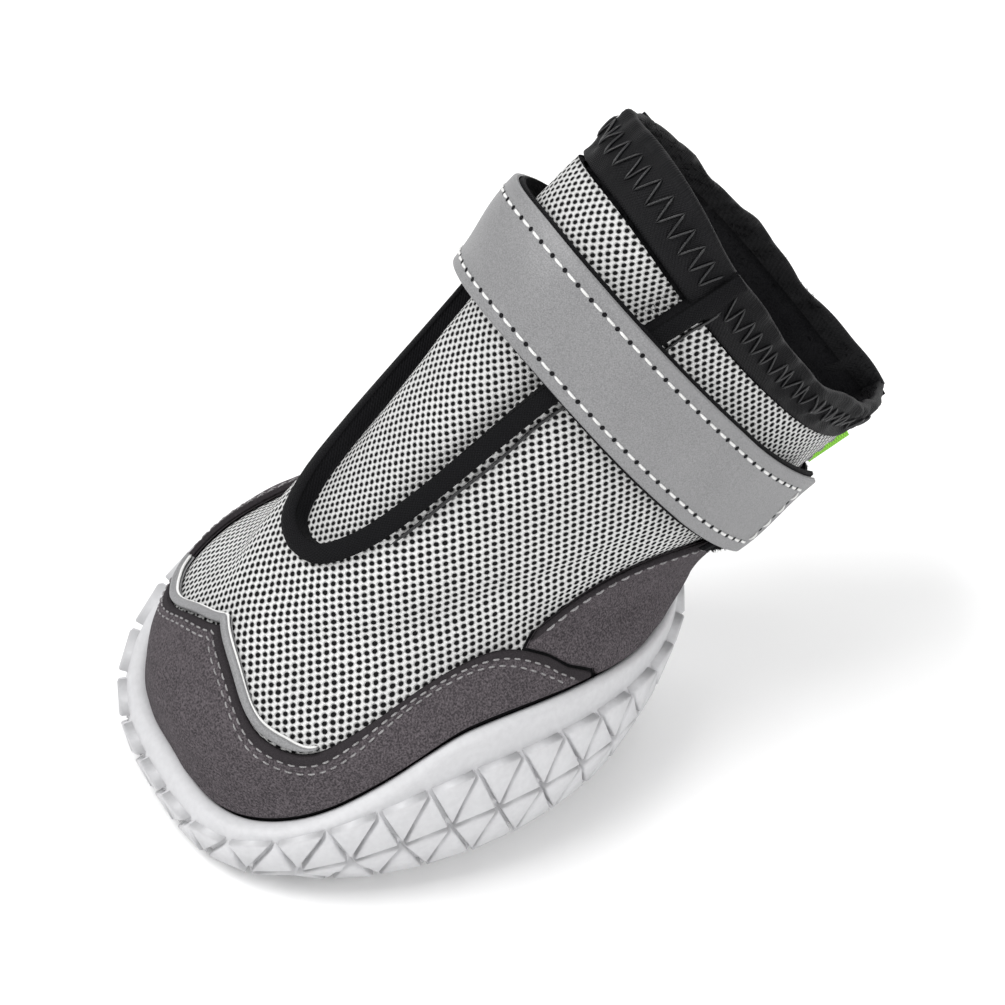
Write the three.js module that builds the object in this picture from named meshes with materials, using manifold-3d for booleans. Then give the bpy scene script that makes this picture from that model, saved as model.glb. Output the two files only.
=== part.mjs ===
// Dog boot: rubber cup sole, mesh upper with a U throat, bellows tongue, suede rand and heel
// counter, bound throat, stretch collar, reflective strap. Millimetres, +Z up, floor at z = 0,
// toe towards -Y, the strap's free end on the +X side.
import * as THREE from "three";
import Module from "manifold-3d";

const wasm = await Module();
wasm.setup();

// Main sizes
const LENGTH = 96;
const BALL_WIDTH = 73;
const SHAFT_WIDTH = 42;
const TOE_HEIGHT = 39;
const THROAT_HEIGHT = 48;
const COLLAR_HEIGHT = 110;
const COLLAR_BACK_HEIGHT = 42;
const COLLAR_FRONT_REACH = 36;
const COLLAR_BACK_REACH = 87;
const SOLE_SIDE_HEIGHT = 27;
const HEEL_SOLE_HEIGHT = 19;
const TOE_SOLE_HEIGHT = 10;

// Material thicknesses and clearances
const GAP = 0.3;
const RUBBER = 2.6;
const CUP_LIP = 2.2;
const WALL = 1.6;
const SUEDE = 1.1;
const LUG = 1.8;
const FLOOR = 2.6;
const INSOLE = 2.5;

// Trim sizes
const STRAP_WIDTH = 17;
const STRAP_THICK = 0.9;
const BACKING_THICK = 0.7;
const STRAP_ARC = 2.4;
const PAD_THICK = 0.8;
const STRAP_SEAT = SUEDE + 3 * GAP + PAD_THICK;
const BINDING_WIDTH = 3.2;
const BINDING_THICK = 1.3;
const BINDING_LAP = 0.8;
const TONGUE_SWELL = 0.8;
const COLLAR_THICK = 1.8;
const TAB_HEIGHT = 3;
const TAB_THICK = 1.2;
const PIPING_WIDTH = 1.6;
const PIPING_THICK = 1.5;
const LUG_PITCH = 11;
const GROOVE = 1.5;

// Outer face of the rubber cup: the flat it stands on, its widest line and its top line. Front
// and back are points on the middle plane, side is the widest point. Reaches and heights are
// shares of the main sizes; frontRound and backRound shape the plan, rise bends the row upward.
const HALF_LENGTH = LENGTH / 2;
const HALF_BALL = BALL_WIDTH / 2;
const HALF_SHAFT = SHAFT_WIDTH / 2;
const SOLE_FLAT = {
  frontY: -0.74 * HALF_LENGTH, frontZ: LUG, sideY: -3, sideZ: LUG, half: 0.64 * HALF_BALL,
  backY: 0.56 * HALF_LENGTH, backZ: LUG, frontRound: 0.7, backRound: 0.8, rise: 2,
};
const SOLE_WIDE = {
  frontY: LUG - HALF_LENGTH, frontZ: 0.4 * TOE_SOLE_HEIGHT, sideY: -8, sideZ: 0.3 * SOLE_SIDE_HEIGHT,
  half: HALF_BALL - LUG, backY: HALF_LENGTH - LUG, backZ: 0.68 * HEEL_SOLE_HEIGHT,
  frontRound: 0.55, backRound: 0.95, rise: 2,
};
const SOLE_TOP = {
  frontY: -0.935 * HALF_LENGTH, frontZ: TOE_SOLE_HEIGHT, sideY: -7, sideZ: SOLE_SIDE_HEIGHT,
  half: 0.915 * HALF_BALL, backY: 0.985 * HALF_LENGTH, backZ: HEEL_SOLE_HEIGHT,
  frontRound: 0.58, backRound: 0.9, rise: 2,
};

// A row of the upper that seats inside a row of the cup
function seat(row, v, inset, lift) {
  return {
    ...row, v, frontY: row.frontY + inset, frontZ: row.frontZ + lift, sideZ: row.sideZ + lift,
    half: row.half - inset, backY: row.backY - inset, backZ: row.backZ + lift,
  };
}

// Girth rows of the upper from the sole's flat (v = 0) to the collar rim (v = 8)
const ROWS = [
  seat(SOLE_FLAT, 0, 0.5, FLOOR + 0.5),
  seat(SOLE_WIDE, 1, RUBBER + GAP, 2),
  seat(SOLE_TOP, 2, CUP_LIP + GAP, 0),
  {
    v: 3, frontY: -0.9 * HALF_LENGTH, frontZ: 0.6 * TOE_HEIGHT, sideY: -6,
    sideZ: 0.83 * TOE_HEIGHT, half: 0.78 * HALF_BALL, backY: 0.99 * HALF_LENGTH,
    backZ: HEEL_SOLE_HEIGHT + 3, frontRound: 0.78, backRound: 0.9, rise: 2,
  },
  {
    v: 4, frontY: -0.69 * HALF_LENGTH, frontZ: TOE_HEIGHT, sideY: 0,
    sideZ: 0.97 * TOE_HEIGHT, half: 0.65 * HALF_BALL, backY: 1.05 * HALF_LENGTH,
    backZ: HEEL_SOLE_HEIGHT + 5.5, frontRound: 0.88, backRound: 0.95, rise: 1.8,
  },
  {
    v: 5, frontY: -0.51 * HALF_LENGTH, frontZ: THROAT_HEIGHT, sideY: 9,
    sideZ: 0.94 * THROAT_HEIGHT, half: 0.59 * HALF_BALL, backY: 1.12 * HALF_LENGTH,
    backZ: HEEL_SOLE_HEIGHT + 7.5, frontRound: 0.8, backRound: 1.05, rise: 1.5,
  },
  {
    v: 6, frontY: 0.15 * HALF_LENGTH, frontZ: 0.77 * COLLAR_HEIGHT, sideY: 31,
    sideZ: 0.51 * COLLAR_HEIGHT, half: 1.04 * HALF_SHAFT, backY: 0.69 * COLLAR_BACK_REACH,
    backZ: 0.71 * COLLAR_BACK_HEIGHT, frontRound: 0.8, backRound: 1.25, rise: 1,
  },
  {
    v: 7, frontY: 0.5 * COLLAR_FRONT_REACH, frontZ: 0.885 * COLLAR_HEIGHT, sideY: 45,
    sideZ: 0.61 * COLLAR_HEIGHT, half: 1.02 * HALF_SHAFT, backY: 0.82 * COLLAR_BACK_REACH,
    backZ: 0.83 * COLLAR_BACK_HEIGHT, frontRound: 0.75, backRound: 1.35, rise: 1,
  },
  {
    v: 8, frontY: COLLAR_FRONT_REACH, frontZ: COLLAR_HEIGHT, sideY: 60,
    sideZ: 0.7 * COLLAR_HEIGHT, half: HALF_SHAFT, backY: COLLAR_BACK_REACH,
    backZ: COLLAR_BACK_HEIGHT, frontRound: 0.7, backRound: 1.45, rise: 1,
  },
];
const SEAT_LEVELS = [0, 0.33, 0.67, 1, 1.33, 1.67, 2];
const RIM = 8;
const BAND = 7.55;
const THROAT = 5.15;
const TOP_LINE = 2;

// Curves over the angle round the boot: 0 at the toe, 180 at the back seam
// angle, v of the rand's top edge
const RAND_EDGE = [
  [0, 3.8], [18, 3.52], [36, 3.04], [50, 2.8], [62, 3.05], [80, 3.75], [92, 3.9], [104, 3.45], [112, 2.95], [117, 2.6],
];
// angle, v of the counter's top edge
const COUNTER_EDGE = [
  [96, 4.15], [104, 4.45], [112, 4.8], [124, 5.05], [138, 5.2], [152, 5.5], [162, 6.3], [168, BAND - 0.09], [180, BAND - 0.09],
];
// angle, v of the rubber's top line
const LIP_EDGE = [[0, 2], [45, 1.9], [70, 2.05], [92, 2.4], [112, 2.3], [135, 2.05], [180, 2]];
// angle, v of the strap's middle line; angle, share of the strap's open arc
const STRAP_LINE = [[-172, 6.4], [-120, 6.5], [-60, 6.62], [0, 6.65], [60, 6.62], [120, 6.6], [160, 6.55]];
const STRAP_BOW = [[-172, 0], [-140, 0.03], [-110, 0.4], [-75, 0.95], [-45, 1.15], [-20, 1], [5, 0.6], [30, 0.15], [50, 0], [160, 0]];
const STRAP_ENDS = [-172, 152];
// v, half angle of the throat opening
const THROAT_ARMS = [[THROAT, 0], [5.17, 7], [5.23, 13], [5.36, 20], [5.6, 27], [6, 35], [7, 47], [8, 52]];

// Reads a table of pairs with a smooth curve through its points
function curve(table, at) {
  const last = table.length - 1;
  if (at <= table[0][0]) return table[0][1];
  if (at >= table[last][0]) return table[last][1];
  let i = 0;
  while (at > table[i + 1][0]) i += 1;
  const slope = (k) => {
    const a = table[Math.max(k - 1, 0)];
    const b = table[Math.min(k + 1, last)];
    return (b[1] - a[1]) / (b[0] - a[0]);
  };
  const [x0, y0] = table[i];
  const [x1, y1] = table[i + 1];
  const h = x1 - x0;
  const s = (at - x0) / h;
  const a = s * s * (3 - 2 * s);
  return y0 * (1 - a) + y1 * a + h * s * (1 - s) * ((1 - s) * slope(i) - s * slope(i + 1));
}

const COLUMNS = Object.fromEntries(
  Object.keys(ROWS[0]).map((key) => [key, ROWS.map((row) => [row.v, row[key]])]),
);

// A row's point at an angle in degrees, 0 at the toe and 180 at the back seam, +X side positive
function onRow(row, angle) {
  const t = THREE.MathUtils.degToRad(angle);
  const c = Math.cos(t);
  const s = Math.sin(t);
  const front = c >= 0;
  const reach = Math.abs(c);
  const round = front ? row.frontRound : row.backRound;
  const lift = reach ** row.rise;
  const endY = front ? row.frontY : row.backY;
  const endZ = front ? row.frontZ : row.backZ;
  const x = Math.sign(s) * row.half * Math.abs(s) ** round;
  return new THREE.Vector3(x, row.sideY + (endY - row.sideY) * reach, row.sideZ + (endZ - row.sideZ) * lift);
}

// The upper's outer skin
function skin(angle, v) {
  const at = Math.min(v, RIM);
  const row = Object.fromEntries(Object.keys(COLUMNS).map((key) => [key, curve(COLUMNS[key], at)]));
  const p = onRow(row, angle);
  if (v > RIM) p.add(onRow(row, angle).sub(skin(angle, RIM - 0.3)).multiplyScalar((v - RIM) / 0.3));
  return p;
}

// Outward normal of a surface given by angle and v
function normalOf(surface, angle, v) {
  const du = surface(angle + 1.5, v).sub(surface(angle - 1.5, v));
  const dv = surface(angle, v + 0.04).sub(surface(angle, v - 0.04));
  return du.cross(dv).normalize();
}

function raised(angle, v, offset) {
  return skin(angle, v).addScaledVector(normalOf(skin, angle, v), offset);
}

// Outer face of the cup: v = 0 at the flat, 1 at the widest line, 2 at the top line
function cup(angle, v) {
  const flat = onRow(SOLE_FLAT, angle);
  const wide = onRow(SOLE_WIDE, angle);
  const top = onRow(SOLE_TOP, angle);
  if (v <= 1) {
    const q = (Math.max(v, 0) * Math.PI) / 2;
    const p = flat.clone().lerp(wide, Math.sin(q));
    p.z = flat.z + (wide.z - flat.z) * (1 - Math.cos(q));
    return p;
  }
  const up = Math.min(v, TOP_LINE) - 1;
  const p = wide.clone().lerp(top, up);
  const side = wide.clone().sub(flat).setZ(0).normalize();
  p.addScaledVector(side, 1.2 * Math.sin(Math.PI * up));
  if (v > TOP_LINE) p.add(skin(angle, v)).sub(skin(angle, TOP_LINE));
  return p;
}

// Solid builders
const AROUND = steps(0, 351, 39);
function solidOf(positions, faces) {
  const mesh = new wasm.Mesh({
    numProp: 3,
    vertProperties: new Float32Array(positions.flatMap((p) => [p.x, p.y, p.z])),
    triVerts: new Uint32Array(faces.flat()),
  });
  mesh.merge();
  return new wasm.Manifold(mesh);
}

// Closed block from two grids of points: outer[i][j] and inner[i][j]; loop joins i's ends
function block(outer, inner, loop) {
  const n = outer.length;
  const m = outer[0].length;
  const points = [...outer.flat(), ...inner.flat()];
  const at = (side, i, j) => side * n * m + (i % n) * m + j;
  const faces = [];
  const quad = (a, b, c, d) => faces.push([a, b, c], [a, c, d]);
  const spans = loop ? n : n - 1;
  for (let i = 0; i < spans; i += 1) {
    for (let j = 0; j < m - 1; j += 1) {
      quad(at(0, i, j), at(0, i + 1, j), at(0, i + 1, j + 1), at(0, i, j + 1));
      quad(at(1, i, j), at(1, i, j + 1), at(1, i + 1, j + 1), at(1, i + 1, j));
    }
    quad(at(0, i, 0), at(1, i, 0), at(1, i + 1, 0), at(0, i + 1, 0));
    quad(at(0, i, m - 1), at(0, i + 1, m - 1), at(1, i + 1, m - 1), at(1, i, m - 1));
  }
  if (!loop) {
    for (let j = 0; j < m - 1; j += 1) {
      quad(at(0, 0, j), at(0, 0, j + 1), at(1, 0, j + 1), at(1, 0, j));
      quad(at(0, n - 1, j), at(1, n - 1, j), at(1, n - 1, j + 1), at(0, n - 1, j + 1));
    }
  }
  return solidOf(points, faces);
}

function steps(from, to, count) {
  return Array.from({ length: count + 1 }, (_, i) => from + ((to - from) * i) / count);
}

// Patch of the skin between two angles and two edges, from one offset to another
function patch({ from, to, along, low, high, across, inner, outer, angles }) {
  const list = angles ?? steps(from, to, along);
  const grid = (offset) => list.map((angle) => steps(0, 1, across).map((s) => {
    const v = low(angle) + (high(angle) - low(angle)) * s;
    return raised(angle, v, typeof offset === "number" ? offset : offset(angle, v, s));
  }));
  return block(grid(outer), grid(inner), false);
}

// Strip along points on the skin: [angle, v] pairs, with a low rounded section
function strip(path, { left, right, inner, outer, shape }) {
  const base = path.map(([angle, v]) => skin(angle, v));
  const up = path.map(([angle, v]) => normalOf(skin, angle, v));
  const side = base.map((p, i) => {
    const a = base[Math.max(i - 1, 0)];
    const b = base[Math.min(i + 1, base.length - 1)];
    return up[i].clone().cross(b.clone().sub(a)).normalize();
  });
  const rows = (height) => base.map((p, i) => shape.map(([w, h]) => p.clone()
    .addScaledVector(side[i], -left + (left + right) * w)
    .addScaledVector(up[i], height === 0 ? inner : inner + (outer - inner) * h)));
  return block(rows(1), rows(0), false);
}
const ROUNDED = [[0, 0.45], [0.3, 1], [0.7, 1], [1, 0.45]];

// Sole: cup, lugs and grooves
function equalAngles(count, v) {
  const fine = steps(0, 360, 720);
  const lengths = [0];
  fine.slice(1).forEach((angle, i) => lengths.push(lengths[i] + cup(angle, v).distanceTo(cup(fine[i], v))));
  const total = lengths[720];
  return (index) => {
    const turn = Math.floor(index / count);
    const want = ((index / count) - turn) * total;
    let k = 1;
    while (lengths[k] < want) k += 1;
    return fine[k - 1] + (0.5 * (want - lengths[k - 1])) / (lengths[k] - lengths[k - 1]) + 360 * turn;
  };
}

function prism(top, bottom) {
  const n = top.length;
  const axis = top[0].clone().sub(bottom[0]);
  const turn = top[1].clone().sub(top[0]).cross(top[2].clone().sub(top[0])).dot(axis);
  const faces = [];
  for (let i = 1; i < n - 1; i += 1) {
    faces.push([0, i, i + 1], [n, n + i + 1, n + i]);
  }
  for (let i = 0; i < n; i += 1) {
    const j = (i + 1) % n;
    faces.push([i, n + i, n + j], [i, n + j, j]);
  }
  const solid = turn > 0 ? faces : faces.map(([a, b, c]) => [a, c, b]);
  return solidOf([...top, ...bottom], solid);
}

function sideLug(corners) {
  const points = corners.map(([a, v]) => cup(a, v));
  const centre = new THREE.Vector3();
  points.forEach((p) => centre.addScaledVector(p, 1 / 3));
  const mid = corners.reduce((sum, [a, v]) => [sum[0] + a / 3, sum[1] + v / 3], [0, 0]);
  const out = normalOf(cup, mid[0], mid[1]);
  const inset = points.map((p) => {
    const d = p.clone().sub(centre);
    return centre.clone().addScaledVector(d, 1 - GROOVE / d.length());
  });
  const top = inset.map((p) => p.clone().addScaledVector(out, LUG));
  const bottom = inset.map((p) => p.clone().addScaledVector(out, -1.2));
  return prism(top, bottom);
}

function sideLugs() {
  const edges = [0.42, 1.0, 1.62];
  const count = 2 * Math.round(125 / LUG_PITCH);
  const angleAt = equalAngles(count, 1);
  const lugs = [];
  for (let row = 0; row < 2; row += 1) {
    const low = edges[row];
    const high = edges[row + 1];
    const shift = row * 0.5;
    for (let i = 0; i < count; i += 1) {
      const a = angleAt(i + shift);
      const b = angleAt(i + shift + 0.5);
      const c = angleAt(i + shift + 1);
      const d = angleAt(i + shift + 1.5);
      lugs.push(sideLug([[a, low], [c, low], [b, high]]));
      lugs.push(sideLug([[b, high], [c, low], [d, high]]));
    }
  }
  return lugs;
}

function insideFlat(x, y) {
  const flat = SOLE_FLAT;
  const reach = (y - flat.sideY) / ((y < flat.sideY ? flat.frontY : flat.backY) - flat.sideY);
  if (reach > 1) return false;
  const round = y < flat.sideY ? flat.frontRound : flat.backRound;
  return Math.abs(x) < flat.half * Math.sqrt(1 - reach * reach) ** round;
}

// Tread on the flat: a lattice of triangles round six-sided pads under forefoot, waist and heel
const TREAD_SIDE = 1.08 * LUG_PITCH;
const TREAD_ROW = (TREAD_SIDE * Math.sqrt(3)) / 2;
const PADS = [
  { y: -2 * TREAD_ROW, radius: 0.85 * TREAD_SIDE },
  { y: 0, radius: 0.85 * TREAD_SIDE },
  { y: 2 * TREAD_ROW, radius: 0.62 * TREAD_SIDE },
];

function treadLugs() {
  const side = TREAD_SIDE;
  const height = TREAD_ROW;
  const lugs = [];
  const add = (points) => {
    const cx = points.reduce((s, p) => s + p[0], 0) / points.length;
    const cy = points.reduce((s, p) => s + p[1], 0) / points.length;
    if (!points.every(([x, y]) => insideFlat(0.93 * x, 0.93 * y))) return;
    const inset = points.map(([x, y]) => {
      const d = Math.hypot(x - cx, y - cy);
      return [cx + (x - cx) * (1 - GROOVE / d), cy + (y - cy) * (1 - GROOVE / d)];
    });
    const top = inset.map(([x, y]) => new THREE.Vector3(x, y, 0));
    const bottom = inset.map(([x, y]) => new THREE.Vector3(x, y, LUG + 1.2));
    lugs.push(prism(top, bottom));
  };
  for (let row = -5; row < 5; row += 1) {
    for (let i = -5; i < 5; i += 1) {
      const y0 = row * height;
      const y1 = y0 + height;
      const shift = (Math.abs(row) % 2) * 0.5;
      const x0 = (i + shift) * side;
      const near = (x, y) => PADS.some((pad) => Math.hypot(x, y - pad.y) < 0.9 * side);
      const up = [[x0, y0], [x0 + side, y0], [x0 + side / 2, y1]];
      const down = [[x0 + side / 2, y1], [x0 + side, y0], [x0 + 1.5 * side, y1]];
      [up, down].forEach((t) => {
        const cx = (t[0][0] + t[1][0] + t[2][0]) / 3;
        const cy = (t[0][1] + t[1][1] + t[2][1]) / 3;
        if (!near(cx, cy)) add(t);
      });
    }
  }
  PADS.forEach((pad) => add(steps(0, 300, 5).map((a) => {
    const t = THREE.MathUtils.degToRad(a);
    return [pad.radius * Math.cos(t), pad.y + pad.radius * Math.sin(t)];
  })));
  return lugs;
}

function outsole() {
  const angles = AROUND;
  const under = SEAT_LEVELS;
  const levelAt = (a, share) => (share <= 1 ? share : 1 + (share - 1) * (lip(a) - 1));
  const outside = angles.map((a) => under.map((v) => cup(a, levelAt(a, v))));
  const rows = under.length;
  const inside = angles.map((a) => under.map((v) => raised(a, levelAt(a, v), GAP)));
  const points = [];
  const faces = [];
  const n = angles.length;
  outside.forEach((ring) => points.push(...ring));
  inside.forEach((ring) => points.push(...ring));
  const at = (side, i, j) => side * n * rows + (i % n) * rows + j;
  const low = points.length;
  points.push(new THREE.Vector3(0, SOLE_FLAT.sideY, LUG));
  points.push(new THREE.Vector3(0, SOLE_FLAT.sideY, LUG + FLOOR));
  for (let i = 0; i < n; i += 1) {
    for (let j = 0; j < rows - 1; j += 1) {
      faces.push([at(0, i, j), at(0, i + 1, j), at(0, i + 1, j + 1)], [at(0, i, j), at(0, i + 1, j + 1), at(0, i, j + 1)]);
      faces.push([at(1, i, j), at(1, i, j + 1), at(1, i + 1, j + 1)], [at(1, i, j), at(1, i + 1, j + 1), at(1, i + 1, j)]);
    }
    faces.push([at(0, i, rows - 1), at(0, i + 1, rows - 1), at(1, i + 1, rows - 1)]);
    faces.push([at(0, i, rows - 1), at(1, i + 1, rows - 1), at(1, i, rows - 1)]);
    faces.push([low, at(0, i + 1, 0), at(0, i, 0)]);
    faces.push([low + 1, at(1, i, 0), at(1, i + 1, 0)]);
  }
  let solid = solidOf(points, faces);
  [...sideLugs(), ...treadLugs()].forEach((lug) => {
    solid = solid.add(lug);
  });
  return solid;
}

// Upper: one hollow shell, cut open at the throat
function lip(angle) {
  return curve(LIP_EDGE, 180 - Math.abs((((angle % 360) + 360) % 360) - 180));
}

function throatHalf(v) {
  return curve(THROAT_ARMS, v);
}

function upper() {
  const angles = AROUND;
  const levels = [...SEAT_LEVELS, 2.5, 3, 3.5, 4, 4.5, 5, 5.5, 6, 6.5, 7, BAND - 0.03];
  const seated = (a, v) => (v <= 1 || v > TOP_LINE ? v : 1 + (v - 1) * (lip(a) - 1));
  const place = (a, v) => (v === 2.5 ? (lip(a) + 3) / 2 : seated(a, v));
  const grid = (offset) => angles.map((a) => levels.map((v) => raised(a, place(a, v), offset)));
  const shell = block(grid(0), grid(-WALL), true);
  const list = [THROAT + 0.002, 5.17, 5.2, 5.26, 5.36, 5.5, 5.7, 6, 6.6, 7.2, 7.7];
  const cutGrid = (offset) => list.map((v) => steps(-1, 1, 6).map((s) => raised(s * throatHalf(v), v, offset)).reverse());
  return shell.subtract(block(cutGrid(3), cutGrid(-4), false));
}

// v a given distance further up the skin
function higher(angle, v, distance) {
  const step = Math.sign(distance) * 0.02;
  let at = v;
  let left = Math.abs(distance);
  let here = skin(angle, at);
  while (left > 0) {
    const next = skin(angle, at + step);
    const run = next.distanceTo(here);
    if (run >= left) return at + (step * left) / run;
    left -= run;
    at += step;
    here = next;
  }
  return at;
}

// Insole: a board on the cup's floor that spreads over the upper's turned-in edge
function insole() {
  const rings = [
    (a) => skin(a, 0).multiplyScalar(0.95).setZ(LUG + FLOOR + 2 * GAP),
    (a) => skin(a, 0).multiplyScalar(0.95).setZ(LUG + FLOOR + WALL + 3 * GAP),
    (a) => raised(a, 0.33, -WALL - 1.5 * GAP),
    (a) => raised(a, 0.33, -WALL - 1.5 * GAP - 0.6 * INSOLE),
  ].map((at) => AROUND.map(at));
  const n = AROUND.length;
  const last = 3 * n;
  const centre = (z) => new THREE.Vector3(0, -3, z);
  const points = [...rings.flat(), centre(LUG + FLOOR + 2 * GAP), centre(LUG + FLOOR + WALL + INSOLE)];
  const faces = [];
  for (let i = 0; i < n; i += 1) {
    const j = (i + 1) % n;
    for (let k = 0; k < last; k += n) faces.push([k + i, k + j, k + n + j], [k + i, k + n + j, k + n + i]);
    faces.push([4 * n, j, i], [4 * n + 1, last + i, last + j]);
  }
  return solidOf(points, faces);
}

// Bellows tongue: lies under the throat edges and swells up through the opening
function tongue() {
  const levels = [THROAT - 0.14, THROAT + 0.13, 5.45, 5.7, 6, 6.5, 7, BAND - 0.03];
  const under = -WALL - GAP;
  const swell = (s, v) => {
    const arm = throatHalf(v);
    const half = arm + 6;
    const near = arm < 6 ? 0 : Math.max(0, 1 - (Math.abs(s * half) / (0.9 * arm)) ** 2);
    const rise = THREE.MathUtils.smoothstep(v, THROAT + 0.13, THROAT + 0.75);
    return (WALL + TONGUE_SWELL) * rise * Math.min(1, 1.25 * near);
  };
  const grid = (offset) => steps(-1, 1, 14).map((s) => levels.map((v) => {
    const half = throatHalf(v) + 6;
    return raised(s * half, v, under + swell(s, v) + offset);
  }));
  return block(grid(0), grid(-1.3), false);
}

// Stretch collar: the tongue's part and the quarters' part, full thickness, edge to edge
function collar(from, to, along) {
  const levels = steps(BAND + 0.03, RIM, 3);
  const grid = (offset) => steps(0, 1, along).map((s) => levels.map((v) => {
    const start = from(v);
    return raised(start + (to(v) - start) * s, v, offset);
  }));
  return block(grid(0.2), grid(-COLLAR_THICK), false);
}

// Suede rand and toe cap
function toeRand() {
  return patch({
    from: -117, to: 117, along: 26, across: 5, inner: GAP, outer: GAP + SUEDE,
    low: (a) => higher(a, lip(a), 2 * GAP), high: (a) => curve(RAND_EDGE, Math.abs(a)),
  });
}

// Heel counter: starts behind the rand's tail, rises under the strap and up the back seam
function heelCounter() {
  const fold = (a) => 180 - Math.abs(a - 180);
  return patch({
    from: 99, to: 261, along: 18, across: 5, inner: GAP, outer: GAP + SUEDE,
    low: (a) => (fold(a) < 118 ? higher(a, curve(RAND_EDGE, fold(a)), 0.5) : higher(a, lip(a), 2 * GAP + 0.9 * THREE.MathUtils.smoothstep(fold(a), 120, 165))),
    high: (a) => curve(COUNTER_EDGE, fold(a)),
  });
}

// Reflective piping along the toe cap's edge
function piping() {
  const path = steps(-54, 54, 24).map((a) => {
    const edge = curve(RAND_EDGE, Math.abs(a));
    return [a, higher(a, edge, 2.2 * GAP + PIPING_WIDTH / 2)];
  });
  const half = PIPING_WIDTH / 2;
  return strip(path, { left: half, right: half, inner: GAP, outer: GAP + PIPING_THICK, shape: ROUNDED });
}

// Throat binding: from the near rim down round the U and up to the far rim
function binding() {
  const levels = [7.98, 7.5, 7, 6.5, 6, 5.7, 5.5, 5.36, 5.26, 5.2, 5.17];
  const near = levels.map((v) => [throatHalf(v), v]);
  const far = levels.map((v) => [-throatHalf(v), v]).reverse();
  return strip([...near, [0, THROAT], ...far], {
    left: BINDING_LAP, right: BINDING_WIDTH - BINDING_LAP, inner: GAP, outer: GAP + BINDING_THICK, shape: ROUNDED,
  });
}

// Tape over the back seam, stepping down from the counter to the collar
function seamTape() {
  const levels = [6.1, 6.5, 6.9, 7.2, BAND - 0.05, BAND + 0.03, 7.97];
  const base = (v) => (v < BAND ? SUEDE + 2 * GAP : 0.2 + GAP);
  const grid = (offset) => [174, 177, 180, 183, 186].map((a) => levels.map((v) => raised(a, v, base(v) + offset)));
  return block(grid(0.8), grid(0), false);
}

// Plain green tab standing on the seam tape
function heelTab() {
  const levels = steps(7.0, BAND - 0.06, 3);
  const foot = SUEDE + 3 * GAP + 0.8;
  const grid = (x) => [foot, foot + TAB_HEIGHT].map((h) => levels.map((v) => raised(180, v, h).setX(x)));
  return block(grid(TAB_THICK / 2), grid(-TAB_THICK / 2), false);
}

// Strap: hugs the near side, stands off in an open arc over the front and far side
function strapLift(angle) {
  return STRAP_SEAT + STRAP_ARC * curve(STRAP_BOW, angle);
}

function strapBand(inner, outer, inset) {
  const angles = steps(STRAP_ENDS[0], STRAP_ENDS[1], 34);
  const grid = (offset) => angles.map((a) => steps(0, 1, 2).map((s) => {
    const middle = curve(STRAP_LINE, a);
    const half = STRAP_WIDTH / 2 - inset;
    const low = higher(a, middle, -half);
    const high = higher(a, middle, half);
    return raised(a, low + (high - low) * s, strapLift(a) + offset);
  }));
  return block(grid(outer), grid(inner), false);
}

// Loop tape under the free end and ribbed webbing on the far side, both over the counter
function shaftPad(from, to, low, high) {
  const inner = SUEDE + 2 * GAP;
  return patch({
    from, to, along: 10, across: 2, inner, outer: inner + PAD_THICK, low: () => low, high: () => high,
  });
}

const group = new THREE.Group();
group.name = "dog_boot";

function addPiece(name, solid, look) {
  const mesh = solid.getMesh();
  const geometry = new THREE.BufferGeometry();
  const positions = new Float32Array(mesh.numVert * 3);
  for (let i = 0; i < mesh.numVert; i += 1) {
    for (let k = 0; k < 3; k += 1) positions[3 * i + k] = mesh.vertProperties[mesh.numProp * i + k];
  }
  geometry.setAttribute("position", new THREE.BufferAttribute(positions, 3));
  geometry.setIndex(new THREE.BufferAttribute(new Uint32Array(mesh.triVerts), 1));
  geometry.computeVertexNormals();
  const piece = new THREE.Mesh(geometry, new THREE.MeshStandardMaterial({ metalness: 0, ...look }));
  piece.name = name;
  group.add(piece);
}

addPiece("outsole", outsole(), { color: 0xe6e6e8, roughness: 0.6 });
addPiece("upper", upper(), { color: 0xc4c4c2, roughness: 0.9 });
addPiece("insole", insole(), { color: 0x2a2a2c, roughness: 0.95 });
addPiece("tongue", tongue(), { color: 0xb9b9b7, roughness: 0.9 });
addPiece("collar_tongue", collar((v) => 0.5 - throatHalf(v), (v) => throatHalf(v) - 0.5, 10), { color: 0x1b1b1d, roughness: 0.95 });
addPiece("collar_quarter", collar((v) => throatHalf(v) + 0.5, (v) => 359.5 - throatHalf(v), 30), { color: 0x1b1b1d, roughness: 0.95 });
addPiece("toe_rand", toeRand(), { color: 0x5a5456, roughness: 0.95 });
addPiece("heel_counter", heelCounter(), { color: 0x5a5456, roughness: 0.95 });
addPiece("toe_piping", piping(), { color: 0x9b9b9b, roughness: 0.6 });
addPiece("throat_binding", binding(), { color: 0x1d1d1f, roughness: 0.9 });
addPiece("seam_tape", seamTape(), { color: 0x1d1d1f, roughness: 0.9 });
addPiece("heel_tab", heelTab(), { color: 0x8fd83a, roughness: 0.8 });
addPiece("strap_face", strapBand(BACKING_THICK + GAP, BACKING_THICK + GAP + STRAP_THICK, 0), { color: 0x969696, roughness: 0.7 });
addPiece("strap_backing", strapBand(0, BACKING_THICK, 0), { color: 0x19191b, roughness: 0.95 });
addPiece("loop_tape", shaftPad(118, 173.5, 5.7, 6.95), { color: 0x19191b, roughness: 1 });
addPiece("heel_webbing", shaftPad(186.5, 250, 5.75, 6.9), { color: 0x1d1d1f, roughness: 0.95 });

export default group;
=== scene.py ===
"""Dog boot dressed for its picture: rubber cup sole, mesh upper, suede panels, strap and collar.

Surfaces are worked out in millimetres from girth rows, as the solids are, and become metres when
a mesh is made. The floor is z = 0, the toe points to -Y and the strap's free end is on +X.
"""

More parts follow.
